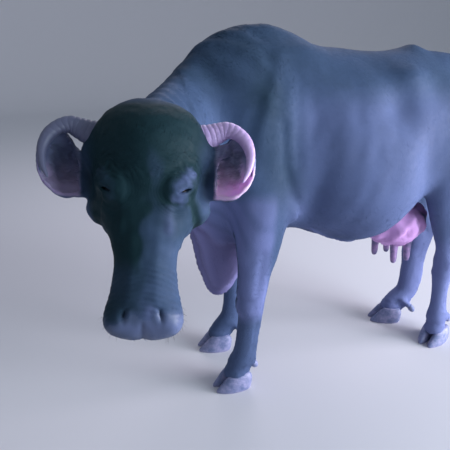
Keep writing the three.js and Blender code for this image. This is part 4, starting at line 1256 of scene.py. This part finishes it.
def unwrap(points):
    # the bake map: trunk and neck round their own axis, the head round its axis, the legs down their length
    x, y, z = points.T
    h = toHead(points)
    bend = np.interp(x, [420, 606, 690, 772, 842, 888, 912], [0, 36, 100, 205, 335, 460, 545])
    trunk = np.stack([(x + 720) / 1760, 0.02 + 0.46 * (np.arctan2(y - bend, z - 950) / 2 / np.pi + 0.5)], -1)
    onHead = np.stack([0.02 + 0.44 * (h[:, 0] + 80) / 660,
                       0.52 + 0.45 * (np.arctan2(h[:, 1], h[:, 2] + 90) / 2 / np.pi + 0.5)], -1)
    row = 2 * (x < 0) + (y < 20)
    onLeg = np.stack([0.52 + 0.44 * z / 650, 0.53 + 0.12 * row + 0.09 * ((x * 0.7 + y) / 160 % 1)], -1)
    isHead = np.linalg.norm(points - np.array(skinGrid["middle"]), axis=1) < 330
    isLeg = (z < 600) & (np.abs(y - 20) > 60) & ~isHead
    return np.clip(np.where(isHead[:, None], onHead, np.where(isLeg[:, None], onLeg, trunk)), 0.005, 0.99)


def lieOfCoat():
    # back and down the trunk, down the neck, away from the whorl between the eyes, out along the ears
    x, y, z = skinPoints.T
    ways = np.tile(np.array([-0.50, 0.0, -0.80]), (len(skinPoints), 1))
    neckShare = (smooth(560, 700, x) * (z > 700))[:, None]
    ways = ways * (1 - neckShare) + neckShare * np.array([-0.42, -0.66, -0.60])
    legShare = (smooth(700, 560, z) * (np.abs(y - 20) > 60))[:, None]
    ways = ways * (1 - legShare) + legShare * np.array([-0.12, 0, -1.0])
    fromWhorl = inHead - np.array([150, 0, 0])
    faceWay = unit(fromWhorl * (1, 0.8, 0)) @ headTurn.T
    ways = ways * (1 - faceShare[:, None]) + faceWay * faceShare[:, None]
    onEar = (band(np.abs(inHead[:, 1]), 150, 280, 20) * band(inHead[:, 0], 50, 216, 10) * faceShare)[:, None]
    earWay = np.stack([0 * x - 0.15, np.sign(inHead[:, 1]), 0 * x + 0.2], -1) @ headTurn.T
    return ways * (1 - onEar) + earWay * onEar, onEar[:, 0]


coatWays, earShare = lieOfCoat()
noseWays = unit(np.array([[1.0, 0, 0.4]]) @ headTurn.T)
below = smooth(0.1, 0.6, -normals[:, 2])
crestShare = smooth(1080, 1240, skinPoints[:, 2]) * smooth(250, 420, skinPoints[:, 0]) * (1 - faceShare)
legPart = (skinPoints[:, 2] < 640) * (np.abs(skinPoints[:, 1] - 20) > 60) * (1 - pinkUdder) * (1 - faceShare)
trunkPart = (1 - faceShare) * (1 - pinkUdder) * (1 - legPart)
highPart = smooth(900, 1120, skinPoints[:, 2])
dry = 1 - smooth(478, 506, inHead[:, 0])
openEye = smooth(24, 34, np.linalg.norm(folded(inHead) - np.array(eye["at"]), axis=1))
headPart = faceShare * dry * openEye * (1 - earShare)
pollShare = 1 - smooth(110, 230, inHead[:, 0])
rimOfEar = earShare * bell((normals @ headTurn)[:, 2], 0.1, 0.35)
innerEar = (1 - smooth(150, 190, inHead[:, 0])) * smooth(60, 100, inHead[:, 0])
innerEar = innerEar * (1 - smooth(215, 240, np.abs(inHead[:, 1])))
coats = {  # the share of each point of the skin, how many tufts, their length, half width and lift
    "coat_back": (trunkPart * highPart, 12000, 14, 0.4, 0.05),
    "coat_crest": (trunkPart * crestShare, 9000, 14, 0.4, 0.06),
    "coat_sides": (trunkPart * (1 - highPart) * (1 - below), 12000, 14, 0.4, 0.05),
    "coat_under": (trunkPart * (1 - highPart) * below, 8000, 16, 0.6, 0.12),
    "coat_legs": (legPart, 10000, 11, 0.55, 0.2),
    "coat_poll": (headPart * pollShare, 11500, 10, 0.35, 0.06),
    "coat_face": (headPart * (1 - pollShare), 10000, 6, 0.3, 0.06),
    "coat_ears": (earShare * (1 - inCup) + 0.5 * rimOfEar, 4200, 7, 0.5, 0.1),
    "ear_hair": (inCup * innerEar, 1700, 15, 0.6, 0.4),
}


def coatMaterial():
    # the hide's colours and marks, painted light and shade among them; each tuft is a little lighter or
    # darker by its tone
    m = Shade("coat")
    color = hideColor(m, m.noise(11.0, 5.0, 0.6), m.noise(70.0, 3.0, 0.6))
    tone = m.attribute("tone")
    lighter = m.mix(m.attribute("brow"), hide["pale"], hide["deep"])
    color = m.mix(m.remap(tone, 0.5, 1.0, 0.0, 0.20), color, lighter)
    color = m.mix(m.remap(tone, 0.5, 0.0, 0.0, 0.16), color, hide["brow"])
    return m.finish(color=color, rough=0.7, specular=0.1)


coatLook = coatMaterial()


def drawQuads(rng, share, count):
    # quads of the skin drawn at random, by their area times their share
    weight = np.linalg.norm(faceNormals(skinPoints, skinQuads), axis=1) * share[skinQuads].mean(1)
    return skinQuads[rng.choice(len(skinQuads), count, p=weight / weight.sum())]


def growCoat(name, seed, share, count, length, wide, lift):
    # each tuft stands at a random place in a drawn quad and takes the marks under its root
    rng = np.random.default_rng(seed)
    chosen = drawQuads(rng, np.maximum(share, 0), count)
    a, b = rng.random((2, count, 1))
    weights = np.stack([(1 - a) * (1 - b), a * (1 - b), a * b, (1 - a) * b], 1)
    root = (skinPoints[chosen] * weights).sum(1)
    out = unit((normals[chosen] * weights).sum(1))
    way = (coatWays[chosen] * weights).sum(1)
    way = unit(way - (way * out).sum(1, keepdims=True) * out)
    sway = 0.14 * ripple(root, 120, 8, seed) + rng.normal(0, 0.10, count)
    way = unit(way * np.cos(sway)[:, None] + np.cross(out, way) * np.sin(sway)[:, None])
    size = {"rows": 3, "length": length * rng.uniform(0.6, 1.3, count)}
    size["wide"] = wide * rng.uniform(0.7, 1.2, count)
    size["lift"] = lift * rng.uniform(0.4, 1.5, count)
    points, faces, patch = blades(root - out * 0.25, way, out, size)
    each = len(patch)
    spots = np.repeat(unwrap(root), each, 0) + np.tile(patch, (len(root), 1))
    slot = "ear_skin" if "ear" in name else "skin"
    piece = addMesh(name, points, faces, slot, coatLook, spots=spots)
    for key, values in skinAttributes.items():
        paint(piece, key, np.repeat((values[chosen] * weights[:, :, 0]).sum(1), each))
    paint(piece, "tone", np.repeat(rng.random(count), each))


for number, (name, spec) in enumerate(coats.items()):
    growCoat(name, 40 + number, *spec)
print("coat grown:", sum(spec[1] for spec in coats.values()), "tufts")


# Long hair: the tail's switch, the lashes and the whiskers
hair = {"dark": (0.010, 0.014, 0.022), "light": (0.050, 0.056, 0.088)}


def hairMaterial():
    # each hair's own tone between the dark and the light
    m = Shade("longHair")
    color = m.mix(m.attribute("tone"), hair["dark"], hair["light"])
    return m.finish(color=color, rough=0.45, specular=0.4)


hairLook = hairMaterial()


def hairPiece(name, points, faces, patch, count, root, nodes=(), core=None):
    # a mesh of hairs, each with one tone, joined by a solid core where one is given
    tone = np.repeat(np.random.default_rng(len(name)).random(count), len(patch))
    spots = np.repeat(unwrap(root), len(patch), 0) + np.tile(patch, (count, 1))
    if core is not None:
        corePoints, coreFaces = core
        faces = faces + [f + len(points) for f in coreFaces]
        points = np.vstack([points, corePoints])
        tone = np.append(tone, np.zeros(len(corePoints)))
        spots = np.vstack([spots, unwrap(corePoints)])
    piece = addMesh(name, points, faces, "hair", hairLook, nodes, spots=spots)
    paint(piece, "tone", tone)


def tailSwitch():
    # strands hang from the last joints of the tail, swell out round the core and gather at the tips
    rng = np.random.default_rng(7)
    count = 900
    turn = rng.uniform(0, 2 * np.pi, count)
    rise = rng.uniform(0, 1, count) ** 0.7
    aside = np.stack([np.cos(turn), np.sin(turn), 0 * turn], -1)
    root = np.array([-718, 15.5, 0]) + aside * (6 + 9 * rng.random(count))[:, None]
    root[:, 2] = 470 + 140 * rise
    tipHeight = np.maximum(332, 350 + 90 * rng.random(count) ** 2 + 40 * (rise - 0.5))
    spread = aside * rng.normal(0.035, 0.03, count)[:, None]
    way = unit(np.array([0.02, 0, -1]) + spread)
    size = {"rows": 6, "length": root[:, 2] - tipHeight, "wide": rng.uniform(0.9, 1.9, count)}
    size["lift"] = rng.uniform(0.08, 0.24, count)
    points, faces, patch = blades(root, way, aside, size)
    sway = 2.2 * np.sin(points[:, 2] / 26 + np.repeat(turn, len(patch)))
    points[:, 0] += sway * smooth(560, 440, points[:, 2])
    points[:, 1] += sway * 0.7 * smooth(560, 440, points[:, 2])
    core = loft(tail["core"], (1, 0, 0), sides=24, rings=20, grow=-2)
    hairPiece("tail_switch_hair", points, faces, patch, count, root, ["tail_switch"], (core[0], core[1:]))


def lashes(side, label):
    # upper lashes stand out and curve up from the lid's edge, the lower ones are short
    rng = np.random.default_rng(11 + side)
    onUpper, onLower = 58, 30
    count = onUpper + onLower
    t = np.concatenate([np.linspace(0.14, 0.86, onUpper), np.linspace(1.16, 1.84, onLower)]) * np.pi
    t = t + rng.normal(0, 0.02, count)
    upper = np.sin(t) > 0
    middle = lidLine(t)
    away = unit(middle)
    rise = np.where(upper, 1.0, -1.0)[:, None]
    lie = unit(away * 0.8 + lift * rise * 0.55 + slit * (np.cos(t) * 0.5)[:, None])
    out = unit(lift * rise - (lift * rise * lie).sum(1, keepdims=True) * lie)
    flip = np.array([1, side, 1])
    size = {"rows": 5, "wide": 0.42, "lift": 0.3, "flat": 0.9}
    size["length"] = np.where(upper, 13, 6) * rng.uniform(0.75, 1.15, count)
    root = fromHead((middle + np.array(eye["at"], float)) * flip)
    points, faces, patch = blades(root, (lie * flip) @ headTurn.T, (out * flip) @ headTurn.T, size)
    hairPiece("lashes_" + label, points, outwards(points, faces), patch, count, root)


def whiskers():
    # long single hairs on the lips and the chin
    rng = np.random.default_rng(29)
    x, y, z = inHead.T
    chin = smooth(430, 470, x) * smooth(-84, -108, z) * faceShare
    lip = smooth(470, 505, x) * band(np.abs(y), 52, 110, 14) * band(z, -92, -40, 12) * faceShare
    count = 170
    chosen = drawQuads(rng, chin + 0.6 * lip, count)[:, 0]
    root, out = skinPoints[chosen], normals[chosen]
    way = unit(noseWays + out * 1.1 + rng.normal(0, 0.25, (count, 3)))
    rise = unit(np.cross(np.cross(way, out), way))
    size = {"rows": 5, "length": rng.uniform(8, 22, count), "wide": 0.28, "lift": -0.25, "flat": 0.9}
    points, faces, patch = blades(root - out, way, rise, size)
    hairPiece("whiskers", points, outwards(points, faces), patch, count, root)


tailSwitch()
for label, side in (("left", 1), ("right", -1)):
    lashes(side, label)
whiskers()
print("long hair placed")

# Floor, light and camera
view = {"at": (1125, 1734, 1330), "turn": -109.7, "down": 20.0, "lens": 40.0}
sweep = {"start": 9.0, "radius": 4.0, "high": 7.0}  # metres
lamps = {  # direction from her middle, distance and size in metres, power in watts, tint
    "keyLight": ((-0.91, 0.40, 0.12), 4.6, 2.8, 320, (0.94, 0.88, 1.0)),
    "fillLight": ((-0.72, 0.68, 0.24), 5.0, 3.4, 245, (0.80, 0.93, 1.0)),
    "backLight": ((-0.5, -1.0, 0.9), 4.5, 2.0, 55, (0.95, 0.88, 1.0)),
}
air = {"color": (0.66, 0.74, 0.84, 1), "strength": 0.52}


def softLight(name, toward, away, size, power, tint):
    # an area lamp on a line out from the middle of the body
    lamp = bpy.data.lights.new(name, "AREA")
    lamp.shape, lamp.size, lamp.energy, lamp.color = "DISK", size, power, tint
    holder = bpy.data.objects.new(name, lamp)
    bpy.context.scene.collection.objects.link(holder)
    middle = Vector((0.1, 0.0, 0.75))
    holder.location = middle + Vector(toward).normalized() * away
    holder.rotation_euler = (middle - holder.location).to_track_quat("-Z", "Y").to_euler()


def floorBowl():
    # level round her, then up all round in a quarter circle to an upright backdrop
    look = Shade("paleFloor").finish(color=(0.60, 0.60, 0.64), rough=0.9, specular=0.0)
    rise = np.linspace(0, np.pi / 2, 24)
    wall = sweep["start"] + sweep["radius"]
    away = np.concatenate([[0.01], sweep["start"] + sweep["radius"] * np.sin(rise), [wall]])
    high = np.concatenate([[0], sweep["radius"] * (1 - np.cos(rise)), [sweep["high"]]])
    turn = np.linspace(0, 2 * np.pi, 96, endpoint=False)
    rows = [away[:, None] * np.cos(turn), away[:, None] * np.sin(turn), high[:, None] + 0 * turn]
    rows = np.stack(rows, -1)
    grid = np.arange(rows.size // 3).reshape(rows.shape[:2])
    low, top = grid[:-1], grid[1:]
    quads = np.stack([low, top, np.roll(top, -1, 1), np.roll(low, -1, 1)], -1).reshape(-1, 4)
    addMesh("floor", rows.reshape(-1, 3) * 1000, [quads, grid[:1]], None, look, inHer=False)


def studio():
    # the floor, three soft lamps, a pale air and the photograph's camera
    floorBowl()
    for name, lamp in lamps.items():
        softLight(name, *lamp)
    world = bpy.data.worlds.new("studioAir")
    world.use_nodes = True
    world.node_tree.nodes["Background"].inputs[0].default_value = air["color"]
    world.node_tree.nodes["Background"].inputs[1].default_value = air["strength"]
    bpy.context.scene.world = world
    bpy.context.scene.view_settings.view_transform = "Standard"
    camera = bpy.data.cameras.new("camera")
    camera.lens, camera.sensor_width = view["lens"], 36
    holder = bpy.data.objects.new("camera", camera)
    bpy.context.scene.collection.objects.link(holder)
    turn, down = math.radians(view["turn"]), math.radians(view["down"])
    look = Vector((math.cos(turn) * math.cos(down), math.sin(turn) * math.cos(down), -math.sin(down)))
    holder.location = Vector((np.array(view["at"]) - shift) * 0.001)
    holder.rotation_euler = look.to_track_quat("-Z", "Y").to_euler()
    bpy.context.scene.camera = holder


studio()
